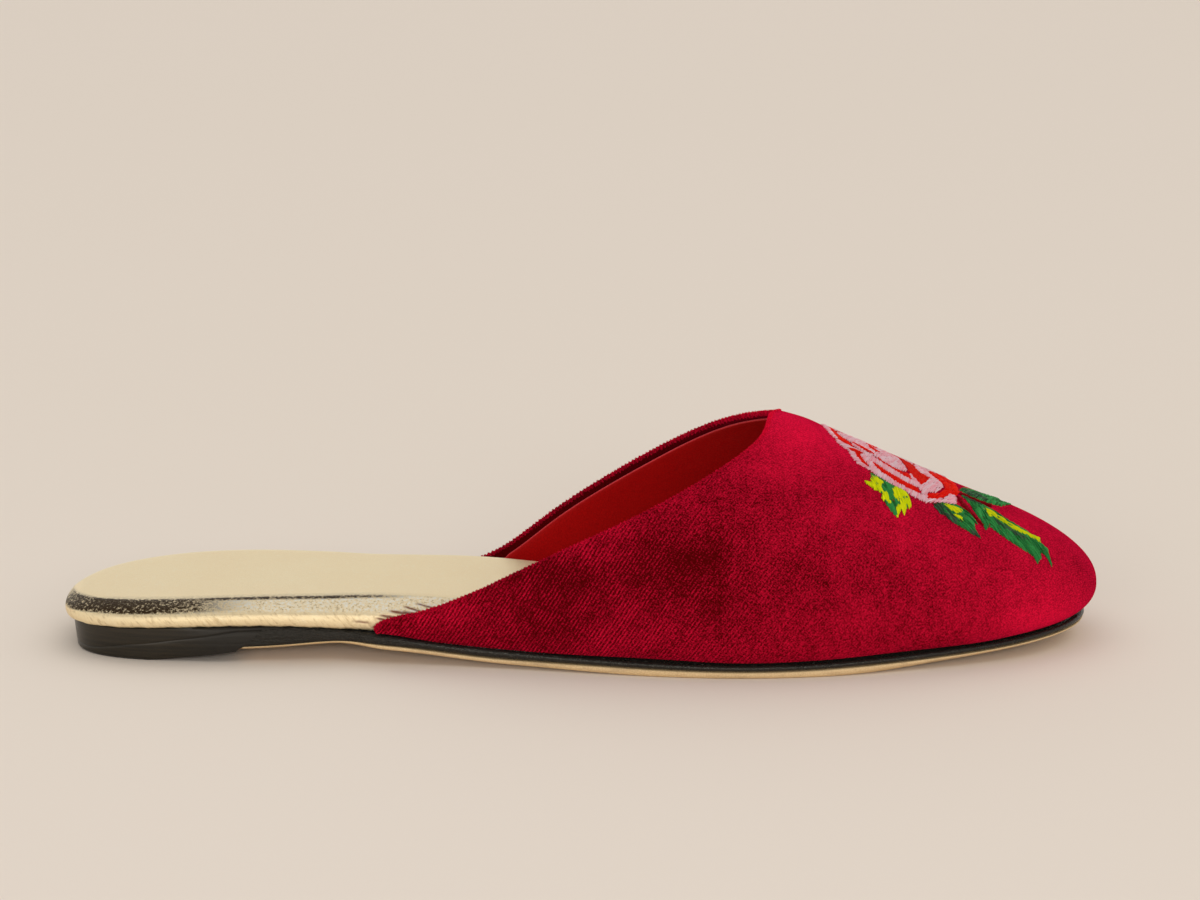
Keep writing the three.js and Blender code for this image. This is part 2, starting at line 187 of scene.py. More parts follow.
def rib_grid(ribs, distances, heights):
    """Points at the given distances along each rib, with their heights, as a grid of ribs by distances."""
    x, dir_x, dir_y, _ = ribs
    return np.stack([x[:, None] + dir_x[:, None] * distances, dir_y[:, None] * distances, heights], -1)


def grid_faces(rows, columns):
    """Four-sided faces between the neighbours of a grid of points."""
    corner = np.arange(rows * columns).reshape(rows, columns)
    return np.stack([corner[:-1, :-1], corner[1:, :-1], corner[1:, 1:], corner[:-1, 1:]], -1).reshape(-1, 4)


def end_faces(ring):
    """Flat end over a ring of corners: a ladder of faces between its two halves."""
    k = np.arange(len(ring) // 2 - 1)
    return np.stack([ring[k], ring[k + 1], ring[len(ring) - 2 - k], ring[len(ring) - 1 - k]], -1)


def ended_grid(points):
    """Faces of a grid and of the flat ends over its first and last row."""
    rows, columns = points.shape[:2]
    corner = np.arange(rows * columns).reshape(rows, columns)
    return np.concatenate([grid_faces(rows, columns), end_faces(corner[0]), end_faces(corner[-1])[:, ::-1]])


def put(name, data):
    """Puts an object with its data into the scene."""
    placed = bpy.data.objects.new(name, data)
    bpy.context.scene.collection.objects.link(placed)
    return placed


def make_piece(name, points, faces, material, uv=None, marks=None):
    """Makes one piece of the slipper: joins equal corners, drops empty faces, turns the skin outward
    by the sign of its volume, and writes the points in metres, with a UV map and marks where given."""
    points = np.asarray(points, float).reshape(-1, 3) + middle
    keys = np.round(points * 1000).astype(np.int64)
    _, first, joined = np.unique(keys, axis=0, return_index=True, return_inverse=True)
    places = points[first]
    corners = joined.reshape(-1)[faces]
    sides = faces.shape[1]
    sizes = (corners != np.roll(corners, -1, axis=1)).sum(axis=1)
    kept = [(corners[sizes == sides], faces[sizes == sides])]
    for k in range(sides):
        thin = (corners[:, k] == corners[:, (k + 1) % sides]) & (sizes == 3)
        kept.append((np.delete(corners[thin], k, axis=1), np.delete(faces[thin], k, axis=1)))
    volume = 0.0
    for corner, _ in kept:
        for k in range(1, corner.shape[1] - 1):
            a, b, c = places[corner[:, 0]], places[corner[:, k]], places[corner[:, k + 1]]
            volume += np.einsum("ij,ij->", a, np.cross(b, c))
    if volume < 0:
        kept = [(corner[:, ::-1], source[:, ::-1]) for corner, source in kept]
    mesh = bpy.data.meshes.new(name)
    mesh.from_pydata((places / 1000).tolist(), [], [face for corner, _ in kept for face in corner.tolist()])
    mesh.polygons.foreach_set("use_smooth", np.ones(len(mesh.polygons), bool))
    mesh.set_sharp_from_angle(angle=np.radians(50))
    if uv is not None:
        order = np.concatenate([source.reshape(-1) for _, source in kept])
        layer = mesh.uv_layers.new(name="cloth")
        layer.data.foreach_set("uv", uv.reshape(-1, 2)[order].astype(np.float32).reshape(-1))
    for label, values in (marks or {}).items():
        attribute = mesh.attributes.new(label, "FLOAT", "POINT")
        attribute.data.foreach_set("value", values.reshape(-1)[first].astype(np.float32))
    mesh.materials.append(material)
    piece = put(name, mesh)
    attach(piece, "root")
    return piece


# Where the sole's edge starts and ends its turn outward under the wings, and the plane of the heel's front
wing_start, wing_end = 0.261, 0.317
bead_overhang = 0.9
breast_lean = 1.18
breast_foot_x = 0.1655 * seat_length
breast_foot_z = 0.29 * heel_height
breast_clearance = gap * np.hypot(1, breast_lean)


def breast_x(z):
    """The heel's front, a plane that leans forward as it rises."""
    return breast_foot_x + (z - breast_foot_z) * breast_lean


def lay_on_breast(points, clearance):
    """Moves the two end sections of a strip along X, on to the heel's front or just ahead of it."""
    for end in (0, -1):
        points[end, :, 0] = breast_x(points[end, :, 2]) + clearance
    return points


def add_node(tree, kind, inputs=None, output=0, **settings):
    """Adds one node, links or sets its inputs, and returns the output that is asked for."""
    node = tree.nodes.new(kind)
    for name, setting in settings.items():
        setattr(node, name, setting)
    feed(node, inputs or {})
    return node.outputs[output]


def feed(node, inputs):
    """Links a node's inputs to outputs, or sets their values; a colour may be given without its alpha."""
    for name, given in inputs.items():
        socket = node.inputs[name]
        if isinstance(given, bpy.types.NodeSocket):
            node.id_data.links.new(given, socket)
        else:
            colour = socket.type == "RGBA" and len(given) == 3
            socket.default_value = (*given, 1.0) if colour else given


def times(a, b):
    """An output times another, or times a constant."""
    return add_node(a.id_data, "ShaderNodeMath", {0: a, 1: b}, operation="MULTIPLY")


def plus(a, *others, clamp=False):
    """A sum of outputs and constants, in order; it may be held between 0 and 1 at the end."""
    for k, other in enumerate(others):
        held = clamp and k == len(others) - 1
        a = add_node(a.id_data, "ShaderNodeMath", {0: a, 1: other}, operation="ADD", use_clamp=held)
    return a


def larger(a, b):
    """The larger of two outputs."""
    return add_node(a.id_data, "ShaderNodeMath", {0: a, 1: b}, operation="MAXIMUM")


def mixed(share, a, b):
    """Colour a turned into colour b by a share."""
    return add_node(share.id_data, "ShaderNodeMix", {0: share, 6: a, 7: b}, output=2, data_type="RGBA")


def graded(number, low, high, from_low=0.0, from_high=1.0):
    """A number carried from one range to another, held at both ends."""
    inputs = {"Value": number, "From Min": from_low, "From Max": from_high, "To Min": low, "To Max": high}
    return add_node(number.id_data, "ShaderNodeMapRange", inputs)


def stretched(vector, scale, turn=(0.0, 0.0, 0.0)):
    """Coordinates scaled by an amount along each axis, and turned."""
    return add_node(vector.id_data, "ShaderNodeMapping", {"Vector": vector, "Scale": scale, "Rotation": turn})


def clouds(vector, scale, detail=3.0, roughness=0.5, turn=(0.0, 0.0, 0.0)):
    """Cloudy noise between 0 and 1. The scale is one number, or one for each axis before a turn."""
    if isinstance(scale, tuple):
        vector, scale = stretched(vector, scale, turn), 1.0
    inputs = {"Vector": vector, "Scale": scale, "Detail": detail, "Roughness": roughness}
    return add_node(vector.id_data, "ShaderNodeTexNoise", inputs)


def bumped(height, depth, normal=None, strength=1.0):
    """A normal tilted by a height between 0 and 1 that stands for a depth in metres."""
    inputs = {"Height": height, "Distance": depth, "Strength": strength}
    if normal is not None:
        inputs["Normal"] = normal
    return add_node(height.id_data, "ShaderNodeBump", inputs)


def mark(tree, name):
    """A mark that the mesh carries on its points."""
    return add_node(tree, "ShaderNodeAttribute", attribute_name=name, output=2)


def new_material(name):
    """A new material with one Principled shader, and its object coordinates."""
    material = bpy.data.materials.new(name)
    material.use_nodes = True
    return material, material.node_tree, add_node(material.node_tree, "ShaderNodeTexCoord", output=3)


def finished(material, **inputs):
    """The material, once its shader's constants are set and its colour and other outputs are linked."""
    shader = material.node_tree.nodes["Principled BSDF"]
    feed(shader, {name.replace("_", " "): given for name, given in inputs.items()})
    return material


def new_group(name, inputs, outputs):
    """An empty shader node group with named inputs and outputs, each with its kind and value."""
    tree = bpy.data.node_groups.new(name, "ShaderNodeTree")
    for socket, (kind, start) in inputs.items():
        made = tree.interface.new_socket(name=socket, in_out="INPUT", socket_type=kind)
        if start is not None:
            made.default_value = start
    for socket in outputs:
        tree.interface.new_socket(name=socket, in_out="OUTPUT", socket_type="NodeSocketFloat")
    return tree.nodes.new("NodeGroupInput").outputs, tree.nodes.new("NodeGroupOutput")


def use_group(name, **inputs):
    """Places a node group beside what feeds it, and returns its outputs."""
    tree = inputs["Vector"].id_data
    return add_node(tree, "ShaderNodeGroup", inputs, node_tree=bpy.data.node_groups[name]).node.outputs


# Leather grain: pebbles from a cell pattern, pores from a finer one, and slow mottling of the dye
grain_in, grain_out = new_group(
    "leather_grain",
    {"Vector": ("NodeSocketVector", None), "Pebbles": ("NodeSocketFloat", 900.0),
     "Mottle": ("NodeSocketFloat", 60.0)},
    ("Height", "Pores", "Mottling"))
grain_tree = grain_out.id_data
grain_warp = add_node(
    grain_tree, "ShaderNodeTexNoise", {"Vector": grain_in["Vector"], "Scale": 420.0, "Detail": 2.0}, output=1)
grain_place = add_node(
    grain_tree, "ShaderNodeMix", {0: 0.0016, 4: grain_in["Vector"], 5: grain_warp}, output=1,
    data_type="VECTOR")
pebbles = add_node(
    grain_tree, "ShaderNodeTexVoronoi", {"Vector": grain_place, "Scale": grain_in["Pebbles"]},
    feature="DISTANCE_TO_EDGE")
pebble_height = graded(pebbles, 0.0, 1.0, 0.0, 0.25)
fine_noise = clouds(grain_in["Vector"], times(grain_in["Pebbles"], 2.6), 2.0)
feed(grain_out, {
    "Height": plus(times(pebble_height, 0.6), times(fine_noise, 0.4)),
    "Pores": graded(pebbles, 1.0, 0.0, 0.0, 0.12),
    "Mottling": clouds(grain_in["Vector"], grain_in["Mottle"], 4.0, 0.6),
})


def outsole_material():
    """Waxed tan sole leather: slow mottling, fine pores and faint scuffs along the shoe."""
    material, _, place = new_material("sole_leather")
    grain = use_group("leather_grain", Vector=place, Pebbles=1500.0, Mottle=45.0)
    scuffs = clouds(place, (40.0, 420.0, 420.0), 4.0, 0.7)
    tan = mixed(grain["Mottling"], (0.66, 0.46, 0.23), (0.78, 0.58, 0.33))
    tan = mixed(graded(grain["Pores"], 0.0, 0.35), tan, (0.36, 0.19, 0.08))
    tan = mixed(graded(scuffs, 0.0, 0.55, 0.55, 0.75), tan, (0.33, 0.22, 0.13))
    return finished(
        material, Base_Color=tan, Roughness=graded(scuffs, 0.42, 0.72), Specular_IOR_Level=0.25,
        Normal=bumped(grain["Height"], 0.00006))


def waist_lift(x):
    """How far the lower edge of the waist and of the wings is drawn up where the cover was pulled tight."""
    return 1.2 * ease(x, 0.20, 0.29) * (1 - ease(x, 0.30, 0.44))


def outsole_points():
    """Sections round the toe: flat top, softly rounded edge, bevel and flat face, out to the outline's ribs.
    Towards the toe the edge is skived thin from below, by raising its depths to a power."""
    start_x = breast_x(breast_foot_z) + breast_clearance
    shares = np.append(share_at(start_x + 3), np.linspace(share_at(start_x + 6), 1, 240))
    ribs, _, length, edge_x = ribs_round(shares)
    turn = ease(edge_x, wing_start, wing_end)
    skive = ease(edge_x, 0.74, 0.93)
    edge = length + 0.05 + (wall + bead_overhang - gap - 0.05) * turn
    bevel = 4 + (0.9 - 4) * turn + 8 * skive
    inward = np.array([0.5, 0.2, 0.05, 0.0, 0.02, 0.1, 0.32, 0.62, 1.0])
    down = np.array([0.0, 0.03, 0.12, 0.28, 0.45, 0.6, 0.8, 0.94, 1.0])
    down = down ** (2.2 - 1.2 * turn + 1.3 * skive)
    distances = np.concatenate([
        0 * edge, 0.5 * edge, edge - inward[:3], edge - inward[3:] * bevel, 0.5 * edge, 0 * edge], axis=1)
    drop = np.concatenate([0 * edge, 0 * edge, down, 1 + 0 * edge, 1 + 0 * edge], axis=1)
    x = ribs[0][:, None] + ribs[1][:, None] * distances
    at_edge = np.array([0, 0] + [1] * 9 + [0, 0])
    top = sole_top_at(x) + 0.25 * (1 - turn)
    heights = top - drop * (top - sole_bottom_at(x)) + waist_lift(edge_x) * at_edge
    return lay_on_breast(rib_grid(ribs, distances, heights), breast_clearance)


outsole = outsole_points()
outsole_piece = make_piece(
    "outsole_leather", outsole, ended_grid(outsole), outsole_material())
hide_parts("outsole")

# Heel
# Two lifts of dark stacked leather, stained and waxed to a brown black, with a leaning front.
# They are pegged and glued to the seat; towards the waist the rand's calf is drawn back over them.
tread_end_x = 0.079 * seat_length
undercut = 0.9
heel_inset = 0.2


def tread_at(x):
    """Height of the tread: flat under the back, then lifting by a power towards the heel's front."""
    return breast_foot_z * (np.maximum(0, x - tread_end_x) / (breast_foot_x - tread_end_x)) ** 1.15


def lift_line_at(x):
    """Share of the heel's height, from the top, at which the two lifts meet; the line climbs forward."""
    return np.interp(x, [0, 5, 10, 15, 25, 34, 41, 50], [0.82, 0.76, 0.64, 0.53, 0.42, 0.33, 0.20, 0.06])


def heel_points():
    """Sections round the back: seat, rounded top edge, side with the sunk lift line, tread."""
    shares = np.append(share_at(breast_foot_x + 3), np.linspace(share_at(breast_foot_x - 1), 0, 150))
    ribs, _, length, edge_x = ribs_round(shares)
    edge = length - heel_inset
    line = lift_line_at(edge_x)
    groove = np.array([-0.05, -0.018, 0.0, 0.018, 0.05])
    steps = np.linspace(0, 1, 7)[1:-1]
    side_down = np.concatenate([
        0.02 + 0 * line, 0.05 + (line - 0.1) * steps, line + groove, line + 0.05 + (0.95 - line) * steps,
        1 + 0 * line], axis=1)
    side_down = np.clip(np.maximum.accumulate(side_down, axis=1), 0, 1)
    sunk = np.zeros(side_down.shape[1])
    sunk[6:11] = [0.0, 0.10, 0.18, 0.10, 0.0]
    taper = undercut * side_down ** 1.3
    foot_round = 0.5 * np.clip((side_down - 0.93) / 0.07, 0, 1) ** 2
    covered = ease(edge_x, 0.09, 0.155) + 0 * side_down
    strip_height = rand_thickness * rand_share(edge_x) + 0.9
    strip_down = np.clip(side_down * (seat_at(edge_x) - tread_at(edge_x)) / strip_height, 0, 1)
    strip_in = 1.1 * (1 - np.sqrt(1 - (2 * strip_down - 1) ** 2)) * (1 - 0.55 * (strip_down > 0.5))
    side_out = (edge - taper - foot_round) * (1 - covered) + (length + 0.3 - strip_in) * covered - sunk
    distances = np.concatenate([0 * edge, 0.5 * edge, edge - 0.5, side_out, 0.5 * edge, 0 * edge], axis=1)
    drop = np.concatenate([0 * edge, 0 * edge, 0 * edge, side_down, 1 + 0 * edge, 1 + 0 * edge], axis=1)
    x = ribs[0][:, None] + ribs[1][:, None] * distances
    tread = tread_at(x)
    tread[[0, -1]] = breast_foot_z
    heights = seat_at(x) - drop * (seat_at(x) - tread)
    marks = np.concatenate([0 * edge, 0 * edge, 0 * edge, covered, 0 * edge, 0 * edge], axis=1)
    return lay_on_breast(rib_grid(ribs, distances, heights), 0.0), marks


def heel_material():
    """Stained stacked leather: thin level streaks of brown in black, waxed, duller where it is scuffed.
    Towards the waist it is covered with the rand's matt calf."""
    material, tree, place = new_material("heel_leather")
    streaks = clouds(place, (30.0, 30.0, 1500.0), 5.0, 0.65)
    patches = clouds(place, (60.0, 60.0, 160.0), 3.0, 0.5)
    grain = use_group("leather_grain", Vector=place, Pebbles=1800.0, Mottle=80.0)
    stain = mixed(graded(streaks, 0.0, 1.0, 0.35, 0.7), (0.006, 0.005, 0.003), (0.024, 0.018, 0.010))
    stain = mixed(graded(patches, 0.0, 0.6, 0.5, 0.8), stain, (0.022, 0.018, 0.013))
    covered = mark(tree, "covered")
    calf = mixed(grain["Mottling"], (0.006, 0.0055, 0.005), (0.018, 0.0165, 0.014))
    return finished(
        material, Base_Color=mixed(covered, stain, calf), Coat_Weight=graded(covered, 0.25, 0.0),
        Coat_Roughness=0.3, Roughness=plus(graded(patches, 0.30, 0.48), times(covered, 0.12)),
        Specular_IOR_Level=graded(covered, 0.30, 0.32), Specular_Tint=(1.0, 0.93, 0.84),
        Normal=bumped(grain["Height"], 0.00002, bumped(streaks, 0.00012)))


heel, heel_covered = heel_points()
heel_piece = make_piece(
    "heel_lifts", heel, ended_grid(heel), heel_material(), marks={"covered": heel_covered})
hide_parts("heel")

# Rand
# A strip of black calf between sole and upper: a narrow rounded bead round the forefoot,
# and a taller cover pulled over the waist, where it is glued down by hand and a little uneven.
rand_width = 7.5


def rand_points():
    """Sections round the toe: a flat top with a sunk channel, a half-round edge and a flat underside.
    At the waist its edge hangs over the sole as a lip, and slow waves run in it that die out forward."""
    start_x = breast_x(heel_height - rand_thickness) + breast_clearance
    shares = np.append(share_at(start_x), np.linspace(share_at(start_x + 6), 1, 300))
    ribs, side, length, edge_x = ribs_round(shares)
    turn = ease(edge_x, wing_start, wing_end)
    edge = length + 0.3 + (wall + bead_overhang - 0.3) * turn
    waist = 1 - ease(edge_x, wing_end - 0.02, wing_end + 0.06)
    wave = np.sin(edge_x * 0.61 + side[:, None]) + 0.6 * np.sin(edge_x * 1.37 + 2)
    wave = wave + 0.4 * np.sin(edge_x * 2.9)
    edge = edge + 0.10 * wave * waist * ease(edge_x, 0.19, 0.24)
    tilt = np.linspace(-90, 90, 15)
    round_in = 1 - np.cos(np.radians(tilt))
    round_down = 0.5 + 0.5 * np.sin(np.radians(tilt))
    channel_in = np.array([4.2, 3.0, 2.3, 1.7])
    channel_down = np.array([0.0, 0.1, 0.62, 0.5])
    bead_top = 0.22 * (1 - waist)
    bead = 0.9 + 0.2 * waist
    round_in = round_in * (1 - 0.55 * waist * (round_down > 0.5))
    inside_lip = edge - 0.95 + (length - 0.32 - edge + 0.95) * waist
    distances = np.concatenate([
        length - rand_width, edge - channel_in, edge - bead * round_in, inside_lip, inside_lip,
        length - rand_width], axis=1)
    lip = waist * (0.06 + 0.85 * (1 - ease(edge_x, 0.165, 0.205)) - 0.04 * wave)
    thick = rand_thickness * rand_share(edge_x)
    down = np.concatenate([
        0 * edge, channel_down + 0 * edge, (bead_top + (1 - bead_top) * round_down) * (1 + lip / thick),
        1 + lip / thick, 1 + 0 * edge, 1 + 0 * edge], axis=1)
    x = ribs[0][:, None] + ribs[1][:, None] * distances
    heights = seat_at(x) - down * (seat_at(x) - rand_bottom_at(x) - waist_lift(edge_x))
    return lay_on_breast(rib_grid(ribs, distances, heights), 0.02), waist + 0 * x


def rand_material():
    """Black calf: small pebbles, a soft shine on the bead, and a greyer, rubbed look at the waist."""
    material, tree, place = new_material("black_leather")
    grain = use_group("leather_grain", Vector=place, Pebbles=1300.0, Mottle=120.0)
    pull = clouds(place, (500.0, 500.0, 1400.0), 3.0, 0.6)
    black = mixed(grain["Mottling"], (0.006, 0.0055, 0.005), (0.016, 0.015, 0.013))
    black = mixed(graded(pull, 0.0, 0.5, 0.5, 0.8), black, (0.028, 0.026, 0.022))
    black = mixed(graded(grain["Pores"], 0.0, 0.6), black, (0.003, 0.003, 0.003))
    waist = mark(tree, "waist")
    normal = bumped(times(pull, graded(waist, 0.15, 1.0)), 0.00045)
    return finished(
        material, Base_Color=black, Specular_IOR_Level=0.35, Specular_Tint=(1.0, 0.93, 0.82),
        Roughness=plus(graded(grain["Mottling"], 0.22, 0.34), times(waist, 0.22)),
        Normal=bumped(grain["Height"], 0.00008, normal))


rand, rand_waist = rand_points()
corner = np.arange(rand.shape[0] * rand.shape[1]).reshape(rand.shape[:2])
back_wall = np.stack([corner[:-1, -1], corner[1:, -1], corner[1:, 0], corner[:-1, 0]], -1)
rand_piece = make_piece(
    "rand_strip", rand, np.concatenate([ended_grid(rand), back_wall]), rand_material(),
    marks={"waist": rand_waist})
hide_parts("rand")

# Footbed
# A board padded with a few millimetres of foam and wrapped in gold foiled leather.
# The leather is drawn over the edge and tucked under, so its side shows fine diagonal creases.
footbed_thickness = 9.0
side_bare, side_tucked, side_covered = 2.0, 1.1, 0.1
tuck_start, cover_start, cover_end = 0.245, 0.412, 0.491
footbed_share = smooth_curve(-0.0792, 0.0792, [
    0.5, 0.66, 0.68, 0.67, 0.73, 0.91, 1.12, 0.86, 0.55, 0.43, 0.42, 0.385, 0.42, 0.435, 0.43, 0.48])

# The shoulder's section: millimetres in from the edge, and share of the way down
shoulder_posts = np.array([
    (7.6, 0.004), (6.9, 0.018), (5.8, 0.055), (4.7, 0.10), (3.6, 0.155),
    (2.6, 0.215), (1.7, 0.285), (0.95, 0.36), (0.42, 0.45), (0.12, 0.55),
    (0.0, 0.65), (0.05, 0.77), (0.3, 0.885), (0.8, 0.96), (1.5, 1.0),
])

# Creases by the outer wing tip: x in millimetres and share of the way down of both ends,
# depth and width in millimetres
tip_creases = np.array([
    (75.6, 0.87, 81.8, 0.64, 0.28, 0.30),
    (76.7, 0.52, 81.1, 0.62, 0.24, 0.26),
    (77.6, 0.42, 86.0, 0.53, 0.34, 0.30),
    (80.0, 0.31, 88.3, 0.36, 0.36, 0.34),
    (83.6, 0.20, 88.6, 0.30, 0.30, 0.28),
    (86.4, 0.13, 92.0, 0.20, 0.24, 0.28),
    (71.0, 0.66, 76.0, 0.70, 0.14, 0.26),
])


def footbed_top_at(x):
    """Height of the footbed's top along its middle."""
    return seat_at(x) + footbed_thickness * footbed_share(x)


def footbed_points():
    """Sections from the crowned top over the padded shoulder to the tucked edge, and the marks where a
    dark reflection and glints are painted. Creases are soft troughs: a bell across each and a taper along it."""
    shares = np.unique(np.append(np.linspace(0, 1, 380), share_at(np.arange(70, 94, 0.3))))
    ribs, side, length, edge_x = ribs_round(shares)
    tuck_end = tuck_start + wing_end - wing_start
    beside = side_bare + (side_tucked - side_bare) * ease(edge_x, tuck_start, tuck_end)
    edge = length + beside - (side_tucked - side_covered) * ease(edge_x, cover_start, cover_end)
    posts = len(shoulder_posts)
    fine = np.linspace(0, posts - 1, 50)
    inward, down = (
        np.convolve(np.pad(np.interp(fine, np.arange(posts), column), 1, "edge"), np.ones(3) / 3, "valid")
        for column in shoulder_posts.T)
    top = np.linspace(0, 1, 9)[:-1]
    narrow = 0.45 + 0.55 * np.clip(np.abs(ribs[2]) / 0.9, 0, 1)[:, None]
    distances = np.concatenate([
        top * (edge - 7.6 * narrow), edge - inward * narrow, 0.5 * edge, 0 * edge], axis=1)
    drop = np.concatenate([0.004 * top, down, [1, 1]])
    shoulder = np.concatenate([0 * top - 0.4, fine / 7.4, [2, 2]])
    low = np.concatenate([0 * top, np.clip((down - 0.45) / 0.55, 0, 1), [0, 0]])
    belly = np.concatenate([0 * top, np.exp(-((down - 0.62) / 0.22) ** 2), [0, 0]])
    wrap = np.sin(edge_x * 0.83 + 0.7 * side[:, None]) + 0.7 * np.sin(edge_x * 1.71 + 1.3)
    wrap = wrap + 0.5 * np.sin(edge_x * 3.3)
    drawn = np.sin(edge_x * 5.1 + 26 * drop) * 0.5 + np.sin(edge_x * 3.4 + 19 * drop + 1) * 0.5
    distances = distances + belly * 0.05 * drawn
    x = ribs[0][:, None] + ribs[1][:, None] * distances
    heights = footbed_top_at(x) - drop * (footbed_top_at(x) - seat_at(x) - gap)
    heights = heights + low * 0.06 * wrap
    steps = np.hypot(np.diff(distances, axis=1), np.diff(heights, axis=1))
    height_along = np.cumsum(steps[:, ::-1], axis=1)[:, ::-1]
    height_along = np.pad(height_along, ((0, 0), (0, 1))) - height_along[:, -2:-1]
    trough = np.zeros_like(x)
    for start_x, start_share, end_x, end_share, depth, width in tip_creases:
        rows = [np.argmin(np.abs(edge_x[:, 0] - at) + 1000 * (side > 0)) for at in (start_x, end_x)]
        start_up = np.interp(start_share, drop[:-2], height_along[rows[0], :-2])
        end_up = np.interp(end_share, drop[:-2], height_along[rows[1], :-2])
        run, climb = end_x - start_x, end_up - start_up
        along = ((x - start_x) * run + (height_along - start_up) * climb) / (run ** 2 + climb ** 2)
        across = ((height_along - start_up) * run - (x - start_x) * climb) / np.hypot(run, climb)
        taper = np.sin(np.pi * np.clip(along, 0, 1)) ** 0.8
        bell = np.exp(-(across / width) ** 2) * (side < 0)[:, None]
        trough = trough + depth * taper * bell * (drop < 0.999)
    distances = distances - trough * 0.9
    heights = heights - trough * 0.7 * (drop < 0.5)
    points = rib_grid(ribs, distances, heights)
    # The band over the shoulder, strongest on the outer side, where a dark reflection and glints are painted
    outer = np.clip(-0.12 - 1.5 * ribs[2], 0, 1)[:, None]
    sunken = 0.55 * (1 - outer) * (ribs[1] < 0)[:, None]
    reflection_band = np.clip((shoulder - 0.05 - sunken) * 9, 0, 1) * np.clip((1.02 + sunken - shoulder) * 5, 0, 1)
    reflection_band = reflection_band * (0.10 + 0.90 * outer)
    # Along the top of the shoulder, behind the waist, a line of painted dark reflection
    fold_reflection = np.exp(-((shoulder - 0.16 - sunken) / 0.13) ** 2) * outer * (1 - ease(x, 0.26, 0.37))
    back = 1 - ease(x, 0.0, 0.205)
    return points, {"reflection_band": reflection_band, "fold_reflection": fold_reflection, "back": back, "crease": np.clip(trough * 7, 0, 1),
                    "drop": drop + 0 * x}


def footbed_material():
    """Gold foil on kid: warm pale metal with a fine grain. Over the shoulder a dark reflection is painted,
    speckled dark brown, most of all round the back of the heel, with painted glints further forward;
    the side, its foot and the creases by the wing tip are painted darker as shade."""
    material, tree, place = new_material("gold_leather")
    grain = use_group("leather_grain", Vector=place, Pebbles=2400.0, Mottle=35.0)
    names = ("reflection_band", "fold_reflection", "back", "crease", "drop")
    reflection_band, fold_reflection, back, crease, drop = (mark(tree, name) for name in names)
    flecks = clouds(place, (1250.0, 1250.0, 900.0), 3.0, 0.75, (0.0, 0.5, 0.0))
    leaning = stretched(place, (1.0, 1.0, 1.0), (0.0, 0.7, 0.0))
    pulls = clouds(leaning, (1300.0, 900.0, 330.0), 3.0, 0.6)
    side = graded(drop, 0.0, 1.0, 0.30, 0.45)
    # Painted dark reflection over the shoulder, speckled by the flecks, strongest round the back of the heel
    # and along its top
    reflection_share = larger(times(reflection_band, graded(back, 0.10, 1.0, 0.0, 0.9)), times(fold_reflection, 0.66))
    dark_reflection = add_node(
        tree, "ShaderNodeMath", {0: reflection_share, 1: graded(flecks, 0.40, 2.4, 0.37, 0.54)}, operation="MULTIPLY",
        use_clamp=True)
    gold = mixed(grain["Mottling"], (0.97, 0.78, 0.48), (1.0, 0.86, 0.57))
    gold = mixed(graded(grain["Pores"], 0.0, 0.10), gold, (0.40, 0.27, 0.13))
    # Painted highlight on the ridges of the diagonal pulls, and on the side painted shade in their troughs
    gold = mixed(graded(pulls, 0.0, 0.4, 0.55, 0.75), gold, (1.0, 0.92, 0.70))
    gold = mixed(times(side, graded(pulls, 0.7, 0.0, 0.30, 0.48)), gold, (0.52, 0.37, 0.19))
    # Painted shade: the side darker lower down, and darkest at its foot where it meets the rand
    gold = mixed(graded(drop, 0.0, 0.30, 0.35, 0.60), gold, (0.72, 0.56, 0.32))
    gold = mixed(graded(drop, 0.0, 0.6, 0.90, 1.0), gold, (0.20, 0.18, 0.08))
    # Painted glints and dark specks on the shoulder further forward
    glint_share = times(reflection_band, graded(back, 1.0, 0.0, 0.12, 0.62))
    gold = mixed(times(glint_share, graded(flecks, 0.0, 1.0, 0.50, 0.58)), gold, (1.0, 0.97, 0.86))
    gold = mixed(times(glint_share, graded(flecks, 0.70, 0.0, 0.36, 0.46)), gold, (0.16, 0.10, 0.045))
    # Painted shade in the creases by the wing tip, reddened by a painted reflection of the velvet
    gold = mixed(times(crease, 0.9), gold, (0.15, 0.022, 0.012))
    # The painted dark reflection, in dark brown
    gold = mixed(dark_reflection, gold, (0.034, 0.019, 0.007))
    dark = larger(dark_reflection, crease)
    normal = bumped(times(pulls, side), 0.00026, strength=0.8)
    normal = bumped(times(flecks, reflection_band), 0.00030, normal)
    return finished(
        material, Base_Color=gold, Metallic=times(graded(dark, 0.60, 0.15), graded(glint_share, 1.0, 0.22)),
        Roughness=plus(graded(flecks, 0.34, 0.46), times(side, 0.14)),
        Specular_IOR_Level=graded(dark, 0.5, 0.12), Normal=bumped(grain["Height"], 0.00003, normal))


footbed, footbed_marks = footbed_points()
footbed_piece = make_piece(
    "footbed_leather", footbed, grid_faces(*footbed.shape[:2]), footbed_material(),
    marks=footbed_marks)
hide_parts("insole")

# Upper
# Silk velvet over a thin leather lining, lasted over the toe and tucked down behind the bead.
# The velvet is turned over at the collar; the lining is turned on itself a little below that edge.
throat_height = 57.0
swell_side, swell_toe, swell_height = 3.4, 7.8, 6.6
swell_start = np.radians(60)
swell_rows = 0.16
lean_instep, lean_toe, lean_start, lean_run = 1.3, 0.8, 0.412, 0.475
collar_posts = np.array([
    0.349, 0.293, 0.311, 0.426, 0.570, 0.656, 0.693, 0.697, 0.716, 0.656, 0.580, 0.466, 0.384, 0.349, 0.317])
velvet_thickness = 1.1
roll_steps = 7
crest_share = smooth_curve(0, 0.0792, [
    1.29, 1.232, 1.191, 1.17, 1.161, 1.158, 1.14, 1.109, 1.077, 1, 0.84, 0.677, 0.546, 0.46])


def crest_at(x):
    """Height of the upper's crest above the floor."""
    return throat_height * crest_share(x)


